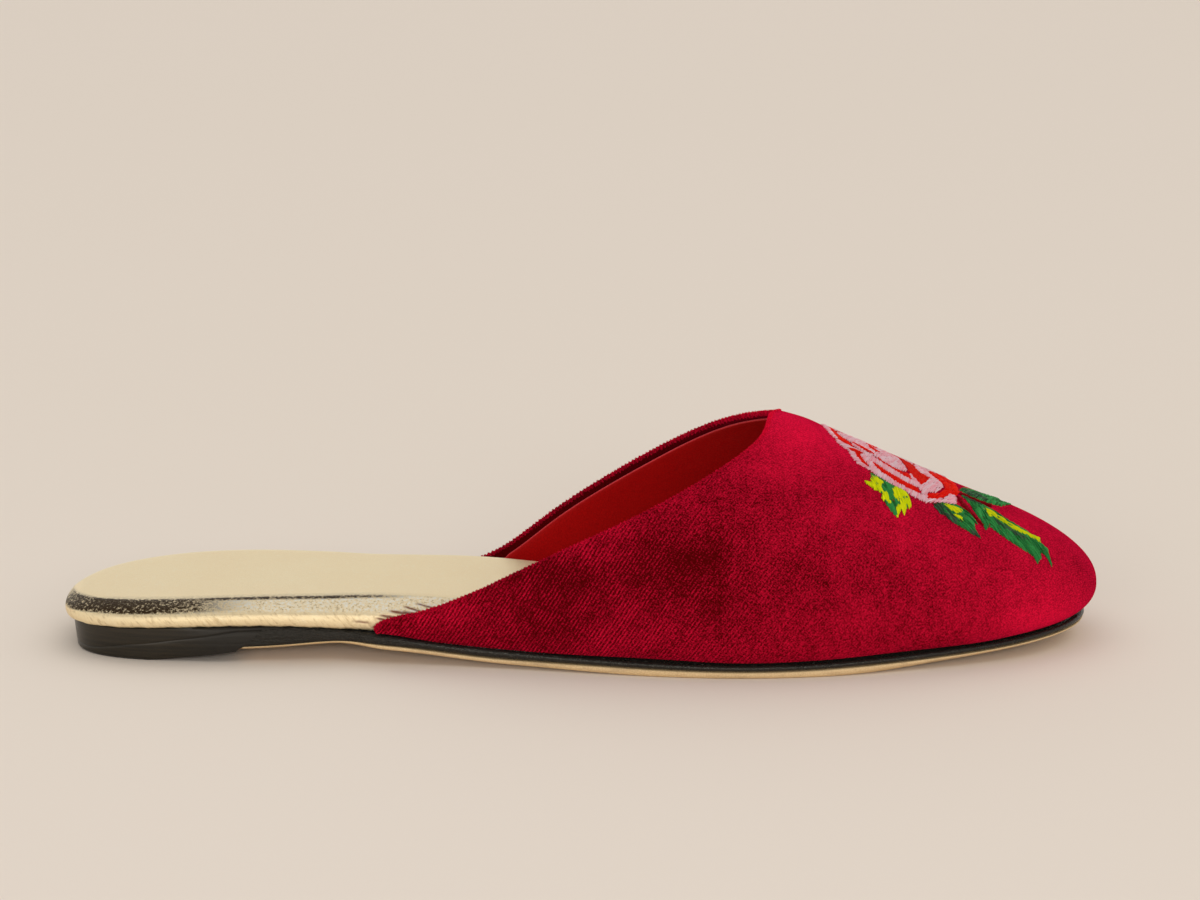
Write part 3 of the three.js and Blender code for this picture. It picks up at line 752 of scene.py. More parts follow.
def upper_point(v, row):
    """Outer surface of the upper. Its rows run from -1 at the outer foot over the crest at 0 to 1 at the
    inner foot. Each rib rises as a quarter ellipse from the foot, then leans in as a power of a sine."""
    v, row = np.broadcast_arrays(np.asarray(v, float), np.asarray(row, float))
    share = 1 - np.abs(row)
    x, dir_x, dir_y, length = rib(v, np.where(row < 0, -1.0, 1.0))
    foot = length + wall
    foot_z = seat_at(x + dir_x * foot) + gap
    depth = swell_side + (swell_toe - swell_side) * np.maximum(0, dir_x) ** 1.5
    swell_r = foot - depth * np.cos(swell_start)
    swell_z = foot_z + swell_height * np.sin(swell_start)
    turn = -swell_start * (1 - share / swell_rows)
    low_r, low_z = swell_r + depth * np.cos(turn), swell_z + swell_height * np.sin(turn)
    over = np.clip((share - swell_rows) / (1 - swell_rows), 0, 1) * np.pi / 2
    forward = np.clip((x / seat_length - lean_start) / lean_run, 0, 1)
    rise = crest_at(x) - swell_z
    widest = swell_r + depth
    fall = np.clip((crest_at(x - 0.5) - crest_at(x + 0.5)) * dir_x * widest, 0, 0.85 * rise)
    high_r = widest * np.maximum(0, np.cos(over))
    high_z = swell_z + (rise - fall) * np.sin(over) ** (lean_instep + (lean_toe - lean_instep) * forward)
    high_z = high_z + fall * (1 - np.cos(over))
    low = share < swell_rows
    r, z = np.where(low, low_r, high_r), np.where(low, low_z, high_z)
    return np.stack([x + dir_x * r, dir_y * r, z], -1)


def collar_at(row):
    """Share v where the collar crosses a row: the spline through its posts, from foot to foot."""
    place = np.clip(np.asarray(row) * 6 + 6, 0, len(collar_posts) - 3 - 1e-9)
    i = place.astype(int)
    posts = [collar_posts[i + k] for k in range(4)]
    return share_at(spline(*posts, place - i) * seat_length)


def unit(vectors):
    """Vectors of length one."""
    return vectors / np.maximum(np.linalg.norm(vectors, axis=-1, keepdims=True), 1e-12)


def upper_skin(side_rows, columns, set_back):
    """Grid of the outer surface from the collar, or set back from it, to the toe, with its normals,
    and at the collar the direction that leads out of the cloth."""
    rising = np.concatenate([
        np.linspace(0, swell_rows, side_rows // 6)[:-1], np.linspace(swell_rows, 1, side_rows)])
    row = np.concatenate([rising - 1, (1 - rising)[::-1][1:]])[:, None]
    crown, hollow = np.exp(-(row / 0.15) ** 2), np.exp(-((np.abs(row) - 0.77) / 0.10) ** 2)
    start = collar_at(row) - 0.0035 * crown + 0.010 * hollow
    edge = upper_point(start, row)[:, 0]
    run = unit(np.gradient(edge, axis=0))
    ahead = upper_point(start + 0.002, row)[:, 0] - edge
    step = np.linalg.norm(ahead - np.einsum("ij,ij->i", ahead, run)[:, None] * run, axis=1) / 0.002
    start = start + set_back / np.maximum(step, 60)[:, None]
    v = start + (1 - start) * np.linspace(0, 1, columns)[None, :]
    skin = upper_point(v, row)
    along, over = np.gradient(skin, axis=1), np.gradient(skin, axis=0)
    normal = unit(np.cross(along, over))
    tip = normal[:, -1] + normal[::-1, -1] * [1, -1, 1]
    tip[len(tip) // 2] = tip[len(tip) // 2 - 1] + tip[len(tip) // 2 + 1]
    normal[:, -1] = unit(tip * [1, 0, 1])
    run = unit(np.gradient(skin[:, 0], axis=0))
    out = unit(np.cross(normal[:, 0], run))
    out = out * np.where(np.einsum("ij,ij->i", out, along[:, 0]) > 0, -1, 1)[:, None]
    return v, row, skin, normal, out


def turned_shell(skin, normal, out, outside, inside):
    """Closed shell between two depths under a skin, turned over a half round at the collar: columns run
    from the toe back to the collar, round its edge, and along the inner face."""
    radius = (inside - outside) / 2
    centre = skin[:, 0] - (outside + radius) * normal[:, 0]
    angle = np.linspace(0, np.pi, roll_steps + 2)[1:-1][None, :, None]
    bend = centre[:, None] + radius * (np.cos(angle) * normal[:, :1] + np.sin(angle) * out[:, None])
    outer = (skin - outside * normal)[:, ::-1]
    return np.concatenate([outer, bend, skin - inside * normal], axis=1)


def vamp_folds(points, normal):
    """Soft hollows and swells that the cloth takes when it is lasted, each a bell in plan: place along,
    place across, length, width and height, in millimetres."""
    folds = [
        (112, -24, 9, 5, -0.35), (126, -33, 14, 5, 0.25), (150, -35, 11, 7, -0.30), (168, -38, 12, 6, 0.22),
        (172, -12, 8, 9, -0.25), (186, -4, 9, 16, 0.20), (205, -34, 12, 6, -0.22), (226, -26, 9, 8, 0.18),
        (118, 26, 11, 5, -0.30), (146, 32, 13, 6, 0.25), (178, 33, 12, 8, -0.25), (214, 28, 14, 8, 0.20),
        (196, 18, 10, 8, -0.20), (236, 4, 8, 12, 0.15), (184.5, 0, 4.5, 10, 0.45), (191.5, 0, 4, 9, -0.30),
    ]
    lift = 0
    for x, y, long, wide, height in folds:
        along, across = (points[..., 0] - x) / long, (points[..., 1] - y) / wide
        lift = lift + height * np.exp(-along ** 2 - across ** 2)
    return points + lift[..., None] * normal


def cloth_map(v, row):
    """Flat pattern of the velvet in tenths of a metre: the crest unrolled, and each rib laid out from it.
    Lengths along the crest and round the ribs are summed on a table of ribs, then read for each point."""
    table_v = np.linspace(v.min(), 1, 260)
    table = upper_point(table_v[None, :], row)
    middle_row = len(row) // 2
    steps = np.linalg.norm(np.diff(table[middle_row], axis=0), axis=1)
    crest = np.concatenate([[0], np.cumsum(steps)])
    girth = np.cumsum(np.linalg.norm(np.gradient(table, axis=0), axis=-1), axis=0)
    girth = girth - girth[middle_row]
    place = np.clip((v - table_v[0]) / (table_v[1] - table_v[0]), 0, len(table_v) - 1.001)
    i = place.astype(int)
    f = place - i
    across = np.take_along_axis(girth, i, axis=1) * (1 - f) + np.take_along_axis(girth, i + 1, axis=1) * f
    _, dir_x, dir_y = spine_at(v)
    start = crest[i] * (1 - f) + crest[i + 1] * f
    return np.stack([start + np.abs(across) * dir_x, across * dir_y], -1) / 100


def velvet_material():
    """Crimson silk velvet: a woven ground with slanting ribs low on the sides, darker in shallow patches,
    and a rosy sheen along its nap. The light mark paints light on the top of the foot and shade inside,
    with pressed nap and painted light and shade in a few listed patches."""
    material, tree, place = new_material("velvet")
    cloth = add_node(tree, "ShaderNodeUVMap", uv_map="cloth")
    ribbed = mark(tree, "ribbed")
    warp = clouds(cloth, (45.0, 45.0, 45.0), 3.0)
    turned = [stretched(cloth, (1.0, 1.0, 1.0), (0.0, 0.0, turn)) for turn in (0.59, -0.25)]
    slanted, weave = (add_node(tree, "ShaderNodeSeparateXYZ", {0: vector}).node.outputs for vector in turned)
    waves = ((slanted[0], 0.87, 5.0), (weave[0], 0.85, 4.0), (weave[1], 0.75, 4.0))
    waves = [plus(times(across, 2 * np.pi * 100 / apart), times(warp, bend)) for across, apart, bend in waves]
    ribs, rows, picks = (add_node(tree, "ShaderNodeMath", {0: wave}, operation="SINE") for wave in waves)
    ribs = graded(ribs, 0.0, 1.0, -1.0, 1.0)
    pile = clouds(cloth, (900.0, 330.0, 900.0), 3.0, 0.7, (0.0, 0.0, 0.59))
    pinpoints = clouds(place, 2200.0, 2.0, 0.7)
    patches = clouds(place, (42.0, 42.0, 55.0), 5.0, 0.66)
    blots = clouds(cloth, (22.0, 16.0, 20.0), 4.0, 0.7)
    rib_share = times(ribbed, graded(blots, 0.12, 0.62, 0.35, 0.62))
    # The light mark carries painted light and shade; random mottling, pile and weave are added to it
    shade = plus(
        mark(tree, "light"), times(graded(patches, -0.5, 0.5, 0.3, 0.7), 0.28),
        times(graded(blots, -0.5, 0.5, 0.3, 0.7), 0.20), graded(pile, -0.11, 0.11, 0.38, 0.62),
        graded(pinpoints, -0.25, 0.25, 0.38, 0.62), times(times(rows, picks), 0.10),
        times(plus(ribs, -0.5), rib_share), clamp=True)
    normal = bumped(pile, 0.00025, bumped(times(ribs, ribbed), 0.00012), 0.8)
    return finished(
        material, Base_Color=mixed(shade, (0.080, 0.0010, 0.0014), (0.78, 0.0065, 0.044)), Roughness=0.9,
        Specular_IOR_Level=0.0, Sheen_Weight=0.5, Sheen_Roughness=0.35, Sheen_Tint=(1.0, 0.012, 0.10),
        Normal=bumped(pinpoints, 0.00012, normal, 0.8))


# Nap pressed one way or the other, together with painted light and shade: place along, height, length,
# rise (millimetres) and how much lighter
nap_and_light_patches = np.array([
    (158.0, 30.0, 17.0, 17.0, -0.26),
    (118.0, 15.0, 15.0, 7.0, -0.20),
    (138.0, 27.0, 12.0, 8.0, -0.14),
    (182.0, 56.0, 13.0, 9.0, 0.26),
    (150.0, 9.0, 24.0, 5.0, 0.07),
    (246.0, 8.0, 16.0, 10.0, 0.56),
    (120.0, 25.0, 17.0, 5.0, -0.24),
    (184.0, 68.0, 11.0, 8.0, 0.30),
    (190.0, 26.0, 16.0, 9.0, -0.10),
])

velvet = velvet_material()
v, row, skin, normal, out = upper_skin(84, 190, 0.5 * velvet_thickness)
skin = vamp_folds(skin, normal)
tucked = ease(skin[..., 0], 0.31, 0.37) * (1 - ease(skin[..., 0], 0.40, 0.56))
skin[..., 2] -= 0.7 * tucked * np.clip((np.abs(row) - 0.86) / 0.14, 0, 1) ** 2
velvet_shell = turned_shell(skin, normal, out, 0.0, velvet_thickness)
flat = cloth_map(v, row)
edge_map = flat[:, :1] - np.linspace(0.001, 0.02, roll_steps)[None, :, None] * [1, 0]
velvet_uv = np.concatenate([flat[:, ::-1], edge_map, flat], axis=1)
x, y, z = skin[..., 0], skin[..., 1], skin[..., 2]
ribbed = (1 - 0.9 * ease(x, 0.50, 0.80)) * (1 - ease(z * seat_length / 60, 0.40, 1.0)) * (np.abs(row) > 0.2)
# Painted light: lighter where the velvet faces up, and a little towards the toe
light = 0.26 + 0.20 * np.clip(normal[..., 2], 0, 1) + 0.05 * ease(x, 0.62, 0.78)
# Patches of pressed nap and painted light and shade, weaker on the inner side
for patch_x, patch_z, long, high, lighter in nap_and_light_patches:
    patch_share = np.exp(-((x - patch_x) / long) ** 2 - ((z - patch_z) / high) ** 2)
    light = light + lighter * patch_share * (1 - 0.6 * np.clip(y / 12, 0, 1))
roll_marks = np.ones((1, roll_steps))
velvet_marks = {
    "ribbed": np.concatenate([ribbed[:, ::-1], ribbed[:, :1] * roll_marks, ribbed], axis=1),
    # On the inner face the light mark is at its darkest: painted shade
    "light": np.concatenate([light[:, ::-1], light[:, :1] * roll_marks, 0 * light - 0.6], axis=1),
}
velvet_piece = make_piece(
    "upper_velvet", velvet_shell, ended_grid(velvet_shell), velvet, velvet_uv, velvet_marks)
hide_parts("upper")

# Lining
# Thin glazed goatskin dyed red, glued inside the velvet and turned back on itself at its own edge.
lining_inset = 2.3


def lining_material():
    """Red goatskin: fine pebbles, a low shine, duller in patches, and a painted highlight where it is
    turned on its edge.
    """
    material, tree, place = new_material("red_lining")
    grain = use_group("leather_grain", Vector=place, Pebbles=1100.0, Mottle=40.0)
    red = mixed(grain["Mottling"], (0.36, 0.0022, 0.0030), (0.46, 0.0040, 0.0045))
    # A painted highlight where the lining is turned on its edge
    red = mixed(times(mark(tree, "rim"), 0.6), red, (0.80, 0.10, 0.12))
    red = mixed(graded(grain["Pores"], 0.0, 0.3), red, (0.20, 0.001, 0.002))
    return finished(
        material, Base_Color=red, Roughness=graded(grain["Mottling"], 0.34, 0.50), Specular_IOR_Level=0.20,
        Specular_Tint=(1.0, 0.25, 0.25), Normal=bumped(grain["Height"], 0.00004))


_, _, lining_skin, lining_normal, lining_out = upper_skin(54, 90, lining_inset)
lining_shell = turned_shell(lining_skin, lining_normal, lining_out, velvet_thickness + 0.08, wall)
# Mark of the painted highlight along the lining's turned edge
lining_edge = lining_skin.shape[1] + roll_steps // 2
lining_edge_highlight = np.exp(-((np.arange(lining_shell.shape[1]) - lining_edge) / 2.5) ** 2)
lining_edge_highlight = lining_edge_highlight + 0 * lining_shell[..., 0]
make_piece(
    "upper_lining", lining_shell, ended_grid(lining_shell), lining_material(), marks={"rim": lining_edge_highlight})

# Pile at the collar
# Where the velvet is turned over its edge the pile stands up as short tufts, in a row of small bunches.
tuft_count = 20000
tuft_length = 0.42
tuft_width = 0.15
bunch_spacing = 1.05
chance = np.random.default_rng(7)
edge_row = chance.uniform(0, len(skin) - 1.001, tuft_count)
nearest = edge_row.astype(int)
between = (edge_row - nearest)[:, None]
roll_angle = chance.uniform(-0.3, np.pi + 0.2, tuft_count)[:, None]


def along_edge(values):
    """Values of the collar's rows, read between two rows."""
    return values[nearest] * (1 - between) + values[nearest + 1] * between


tuft_normal, tuft_out = unit(along_edge(normal[:, 0])), unit(along_edge(out))
tuft_centre = along_edge(skin[:, 0]) - 0.5 * velvet_thickness * tuft_normal
tuft_up = unit(np.cos(roll_angle) * tuft_normal + np.sin(roll_angle) * tuft_out)
tuft_side = unit(np.cross(tuft_up, unit(chance.normal(size=(tuft_count, 3)))))
tuft_third = np.cross(tuft_up, tuft_side)
tuft_root = tuft_centre + (0.5 * velvet_thickness - 0.06) * tuft_up
tuft_lean = unit(tuft_up + 0.35 * chance.normal(size=(tuft_count, 3)))
edge_length = np.cumsum(np.linalg.norm(np.gradient(skin[:, 0], axis=0), axis=1))
bunch = 0.5 + 0.5 * np.cos(along_edge(edge_length[:, None])[:, 0] * 2 * np.pi / bunch_spacing)
tuft_size = tuft_length * (0.30 + bunch) * chance.uniform(0.7, 1.1, tuft_count)
tuft_tip = tuft_root + tuft_size[:, None] * tuft_lean
spread = np.radians([0, 120, 240])
base = [tuft_root + tuft_width * (np.cos(a) * tuft_side + np.sin(a) * tuft_third) for a in spread]
tufts = np.stack([*base, tuft_tip], axis=1)
tuft_faces = np.array([(0, 1, 3), (1, 2, 3), (2, 0, 3), (0, 2, 1)])
tuft_faces = (4 * np.arange(tuft_count)[:, None, None] + tuft_faces).reshape(-1, 3)
# The tufts are a little lighter than the velvet at the collar, most in each bunch: a painted highlight on the
# turned edge
tuft_light = np.repeat(along_edge(light[:, :1])[:, 0] + 0.10 + 0.20 * bunch, 4)
make_piece(
    "collar_pile", tufts, tuft_faces, velvet,
    uv=np.repeat(along_edge(flat[:, 0]), 4, axis=0), marks={"light": tuft_light, "ribbed": 0 * tuft_light})

# Embroidery
# A rose with five leaves in rayon thread: satin stitches laid side by side over an underlay,
# each patch in its own direction. Outlines are in plan, in millimetres of the last's frame.
thread_width = 0.50
thread_spacing = 0.40
longest_stitch = 4.6
underlay_turn, underlay_depth, underlay_spacing = 8, -0.10, 0.55
most_spans = 3
thread_points = 6
thread_girth = 1.2
thread_corners = np.radians([90, 18, -54, -126, 162])

# Each thread with its dark and light tone and its patches: stitch angle in degrees, lift off the velvet,
# and outline as places along and across the shoe
threads = [
    ("pink", (1.0, 0.29, 0.37), (1.0, 0.72, 0.79), [
        (70, 0.18, "188.7 8, 189.0 4.5, 189.9 1.5, 190.5 -1, 191.5 -3, 192.2 -2.2, 191.6 0.5, 190.8 3, "
         "190.3 8, 190.2 12, 189.0 11"),
        (35, 0.20, "192.0 -3.2, 194 -4.2, 196.6 -4.4, 198.6 -4.9, 196 -5.6, 194.3 -6.6, 194.9 -7.6, "
         "193.4 -6.8, 192.3 -5.2"),
        (25, 0.20, "195.0 -7.4, 196.2 -7.5, 196.8 -9.6, 197.9 -11.3, 199.8 -11.9, 200.8 -13.2, "
         "199 -12.8, 197 -12.4, 196 -11, 195.3 -9.2"),
        (78, 0.26, "196.2 -1.2, 198.6 -3.2, 200.9 -3.6, 201.2 -5.2, 200.4 -7.6, 200.9 -9.4, 203 -11.8, "
         "206 -13, 209 -13.7, 212 -14, 213.8 -13.4, 214.2 -16.1, 211 -16, 208 -15.3, 205 -14.8, "
         "202 -14, 200 -13, 199.9 -10.9, 198.2 -8.9, 197.9 -7, 198.9 -5.2, 197.3 -3.4, 196 -2.6"),
        (82, 0.22, "200.9 -4.2, 203.2 -5.7, 206 -7.2, 209 -8.3, 211.2 -8.6, 212.6 -10.2, 211.4 -11.3, "
         "207.6 -10.9, 204.5 -9.9, 202 -8.6, 200.4 -7.8, 200.5 -5.8"),
        (75, 0.28, "192.4 3.6, 193.8 1, 195.8 -0.8, 199 -2.3, 202 -3.6, 204.6 -5.6, 207.8 -5.8, "
         "209.6 -4.2, 209.2 -1, 208.6 2.6, 207.6 6, 204.6 8.6, 200.2 9.4, 196 8.4, 193.4 6.4"),
        (68, 0.24, "212.2 1.9, 213.2 0.1, 215.4 -1.2, 215.2 -4, 214 -7.4, 213 -9.6, 211.8 -7.6, "
         "210.4 -5.4, 210.8 -8.6, 212.4 -10.8, 213.4 -13.6, 214.2 -15.6, 214.3 -12.2, 214.8 -11, "
         "216.8 -9.8, 218 -6.9, 218.9 -4, 218 -1, 216.4 1.2, 215.4 4.4, 214.8 8.2, 212.6 8.6, 212.0 5.2"),
        (50, 0.24, "220.2 -7.6, 221.6 -7.1, 221.9 -9, 221.5 -11.9, 218.4 -13.2, 216 -14.9, 214.1 -16.0, "
         "214.6 -14.3, 217 -12.9, 218.7 -11.3, 219.8 -9.4"),
        (100, 0.22, "190.4 12, 191.8 7.4, 193.6 10, 197 12.2, 202 12.8, 206.8 11.3, 209.8 8.2, 212 7.4, "
         "211.4 11, 208 14.2, 203 15.8, 197 15.4, 192.8 13.8"),
        (118, 0.20, "214.8 8.4, 216.2 8, 218.2 9.8, 220.4 8.4, 219.6 12, 216 15.8, 211.6 18.4, "
         "205.4 19.4, 204.4 18.3, 210 16.6, 213.8 12.8"),
    ]),
    ("red", (0.86, 0.002, 0.002), (1.0, 0.020, 0.006), [
        (62, 0.10, "190.2 8, 190.5 4, 191.4 0.5, 192.3 -1.5, 194 -3.2, 195.8 -3.9, 196.2 -3, 195.2 -1, "
         "193.4 1, 192.2 4, 192.0 8, 191.2 12, 190.0 11"),
        (25, 0.10, "194.1 -5.6, 196 -5.0, 198.6 -4.7, 198.6 -6.2, 197.7 -7.4, 198.3 -9.4, 199.8 -11, "
         "199.2 -11.8, 197.4 -11, 196.4 -9, 195.9 -7.4"),
        (80, 0.12, "200.3 -7.9, 202 -8.5, 204.5 -9.7, 207.5 -10.6, 211 -11, 212.2 -12, 212.2 -13.8, "
         "208.5 -13.4, 205 -12.4, 202.6 -11, 201 -9.5"),
        (84, 0.14, "202.4 -3.9, 204.2 -5.3, 206.2 -6.0, 208.4 -6.0, 210.2 -5.2, 210.6 -8.6, 208 -8.2, "
         "205.2 -7.0, 203.2 -5.8"),
        (55, 0.34, "196.2 -0.9, 198.4 -1.2, 200.6 -2.0, 201.4 -3.0, 199 -2.7, 197 -2.0"),
        (70, 0.36, "199.6 4.4, 200.2 1.6, 201.6 0.2, 203 1.2, 202.2 2.6, 201.6 4.4, 202.6 6.0, 200.6 6.2"),
        (88, 0.16, "208.6 5.4, 209.4 1.6, 210 -1.6, 210.2 -4.2, 211.4 -6.6, 212.8 -9.4, 213.8 -7.6, "
         "215 -4.4, 215.6 -1.6, 213.2 -0.4, 212.2 1.6, 212.4 4, 211 7, 209.2 8"),
        (62, 0.14, "216.2 7.6, 216 4, 217.2 1, 218.8 -1.4, 219.6 -4, 218.8 -6.8, 217.6 -9.4, "
         "215.4 -11.4, 214.4 -12.6, 214.6 -13.9, 216.2 -13.4, 218 -11.6, 219.4 -9.6, 220.2 -7.8, "
         "222 -7, 223 -4, 222.9 0, 222.2 4, 220.6 8, 218.4 9.6"),
        (98, 0.12, "192.2 4, 193.6 6.6, 196.2 8.7, 200.4 9.7, 204.8 8.9, 207.8 6.3, 208.7 5.5, 209.6 8, "
         "206.8 11, 202 12.6, 197 12, 193.6 9.8, 192 7"),
        (112, 0.14, "196.4 15.5, 203 16, 208.2 14.4, 211.6 11.2, 212.6 8.8, 214.6 8.6, 213.6 12.6, "
         "209.8 16.4, 204 18.2, 198.6 17.8"),
    ]),
    ("green", (0.002, 0.045, 0.010), (0.060, 0.42, 0.100), [
        (118, 0.12, "200.3 -13.9, 203.6 -14.5, 206.4 -15.0, 208.9 -15.6, 209.8 -18, 209.2 -20.2, "
         "208.3 -21.6, 207.2 -22.2, 206.1 -24.6, 204.2 -23.2, 203 -21.6, 202.4 -19.4, 200.4 -18.8, "
         "200.2 -16.4"),
        (138, 0.14, "216.4 -15.4, 218 -13.8, 221.8 -11.7, 223.8 -12.4, 225.6 -14.2, 227 -16.4, "
         "225.8 -16.2, 226.0 -18.6, 227.2 -20.3, 224.6 -20.1, 220.4 -19"),
        (108, 0.14, "223.5 -5.4, 226.4 -5.7, 228.6 -6.4, 229.6 -8.6, 229.9 -11.6, 229.7 -15.4, "
         "228.7 -17.1, 227.9 -14.6, 226.2 -11, 225 -8"),
        (128, 0.16, "228.3 -5.8, 231 -6.5, 235 -9, 240 -10.5, 242.6 -10.9, 243.0 -12.4, 244.6 -13.6, "
         "245.0 -15.4, 245.6 -17.6, 244.0 -16.0, 242.9 -15.4, 242.6 -17.4, 241.6 -19.2, 240.4 -18.0, "
         "237 -17.6, 234 -17, 230.1 -15.4, 229.8 -11.6, 229.4 -8.4"),
        (74, 0.14, "223.3 -1.4, 226 -2.8, 230 -3.2, 233.8 -1.9, 235.6 1.4, 236.8 5.2, 234 4.2, "
         "233.6 7.4, 230.2 5.6, 226.6 4.8, 224.2 2.6"),
        (40, 0.14, "206.6 19, 210 18.6, 211.6 21, 213.8 24.6, 211.2 24.0, 210.4 26.6, 208.2 23.8, "
         "206.4 22.6"),
        (20, 0.14, "192.6 14.6, 195.6 16, 195.2 19, 192.8 21.8, 192.2 19.4, 189.8 19.6, 190.8 16.8"),
    ]),
    ("dark_green", (0.004, 0.022, 0.009), (0.080, 0.16, 0.085), [
        (128, 0.22, "215.7 -15.8, 217.6 -14.3, 219.4 -15.6, 221.0 -17.2, 222.4 -18.4, 221.2 -19.2, "
         "219.6 -18.9, 218.2 -17.8, 217.0 -18.0, 216.2 -16.8"),
        (120, 0.24, "224.6 -19.4, 226.0 -19.4, 227.3 -20.4, 225.0 -20.3"),
        (112, 0.22, "223.4 -5.0, 228.2 -5.8, 228.8 -7.4, 227.6 -7.0, 226.2 -7.2, 224.6 -6.6"),
        (122, 0.24, "231.2 -11.4, 233.4 -11.9, 236.4 -13.0, 239.2 -13.2, 240.0 -14.4, 237.6 -14.8, "
         "234.8 -14.0, 232.2 -13.4"),
        (66, 0.24, "223.4 -1.2, 226 -2.6, 229.6 -2.6, 230.6 -0.8, 228.6 1.6, 225.8 1.8, 224.0 0.8"),
    ]),
    ("lime", (0.60, 0.76, 0.002), (1.0, 1.0, 0.012), [
        (108, 0.26, "200.3 -15.4, 201.4 -14.6, 203.0 -15.6, 202.6 -17.8, 202.9 -19.6, 200.8 -19.6, "
         "199.9 -19.2, 198.4 -18.5, 200.1 -17.8"),
        (104, 0.26, "205.2 -16.8, 206.2 -15.0, 208.9 -15.5, 209.6 -17.4, 209.9 -19.4, 209.5 -20.8, "
         "208.8 -19.8, 208.2 -23.2, 207.3 -22.0, 206.2 -24.7, 206.0 -22.4, 207.2 -20.4, 205.8 -19"),
        (100, 0.26, "202.8 -18.6, 203.8 -18.2, 204.0 -20.4, 204.8 -21.6, 203.4 -21.8, 202.4 -21.6, "
         "202.8 -20.2"),
        (148, 0.26, "218.2 -14.0, 220.0 -13.0, 222.8 -13.3, 222.9 -14.8, 221.4 -15.7, 219.8 -15.2"),
        (158, 0.26, "220.5 -16.3, 222.4 -16.3, 223.4 -16.8, 222.4 -17.5, 221.0 -17.0"),
        (150, 0.28, "228.7 -7.6, 230.2 -7.7, 232.4 -8.9, 235.2 -10.3, 238.6 -11.0, 242.6 -11.0, "
         "242.7 -12.6, 239.0 -12.3, 236.4 -12.7, 233.0 -11.3, 230.8 -10.2, 230.2 -11.4, 229.6 -9.6"),
        (48, 0.26, "208.0 19.6, 210.2 19.2, 211.4 22, 210.6 24.6, 209.2 22.4"),
        (30, 0.26, "192.8 15.6, 194.8 16.6, 194.2 18.8, 192.6 20.2, 191.8 18.2"),
    ]),
    ("stem_red", (0.16, 0.001, 0.004), (0.30, 0.002, 0.010), [
        (150, 0.16, "222.8 -3.4, 226.4 -3.9, 231.0 -4.0, 230.4 -5.6, 227 -5.3, 223.2 -4.9"),
        (58, 0.16, "222.2 -7.0, 223.4 -7.4, 224.4 -10.0, 226.4 -13.4, 228.4 -16.0, 227.2 -15.6, "
         "225.0 -13.2, 223.0 -10.8"),
    ]),
]


def on_vamp(x, y):
    """Share v and row of the upper over a plan point: the rib is found by halving, the row from its sine."""
    low, high = np.full(x.shape, 0.3), np.full(x.shape, 1.0)
    for _ in range(34):
        v = (low + high) / 2
        spine_x, along, across = spine_at(v)
        ahead = (x - spine_x) * across > np.abs(y) * along
        low, high = np.where(ahead, v, low), np.where(ahead, high, v)
    spine_x, along, _, length = rib(v, np.where(y < 0, -1.0, 1.0))
    depth = swell_side + (swell_toe - swell_side) * np.maximum(0, along) ** 1.5
    widest = length + wall + depth * (1 - np.cos(swell_start))
    turn = np.arccos(np.clip(np.hypot(x - spine_x, y) / widest, 0, 1)) / (np.pi / 2)
    return v, np.where(y < 0, -1.0, 1.0) * (1 - swell_rows) * (1 - turn)


def vamp_surface(x, y):
    """Points of the velvet over plan points, and their normals, from two neighbours of each."""
    here, ahead, beside = (
        upper_point(*on_vamp(x + dx, y + dy)) for dx, dy in ((0, 0), (0.05, 0), (0, 0.05)))
    normal = unit(np.cross(ahead - here, beside - here))
    return vamp_folds(here, normal), normal


def stitch_lines(outline, angle, spacing):
    """Ends of the stitches that fill an outline: parallel lines a spacing apart are cut where they cross
    its sides, each span is divided evenly, and the ends are pushed a little in or out by chance."""
    outline = np.array(outline.replace(",", " ").split(), float).reshape(-1, 2)
    turn = np.radians(angle)
    along, across = np.array([np.cos(turn), np.sin(turn)]), np.array([-np.sin(turn), np.cos(turn)])
    s, t = outline @ along, outline @ across
    s_next, t_next = np.roll(s, -1), np.roll(t, -1)
    level = np.arange(t.min() + spacing / 2, t.max(), spacing)[:, None]
    crossed = (t > level) != (t_next > level)
    place = np.where(crossed, s + (s_next - s) * (level - t) / np.where(t_next == t, 1, t_next - t), np.inf)
    place = np.sort(np.pad(place, ((0, 0), (0, 2 * most_spans)), constant_values=np.inf), axis=1)
    place = place[:, :2 * most_spans].reshape(len(level), most_spans, 2)
    keep = np.isfinite(place[..., 1])
    start, end = place[..., 0][keep], place[..., 1][keep]
    level = np.broadcast_to(level, keep.shape)[keep]
    start = start - chance.uniform(-0.15, 0.45, len(start))
    end = end + chance.uniform(-0.15, 0.45, len(end))
    parts = np.ceil((end - start) / longest_stitch).astype(int)
    ends = []
    for count in range(1, parts.max() + 1):
        a, b, height = start[parts == count], end[parts == count], level[parts == count]
        cuts = np.linspace(0, 1, count + 1)[None, :] + np.zeros((len(a), 1))
        cuts[:, 1:-1] += chance.uniform(-0.12, 0.12, cuts[:, 1:-1].shape)
        cuts = a[:, None] + (b - a)[:, None] * cuts
        first, last, height = cuts[:, :-1].reshape(-1), cuts[:, 1:].reshape(-1), np.repeat(height, count)
        ends.append(np.stack([first, height, last, height + chance.uniform(-0.12, 0.12, len(height))], -1))
    ends = np.concatenate(ends)
    return ends[:, :1] * along + ends[:, 1:2] * across, ends[:, 2:3] * along + ends[:, 3:] * across


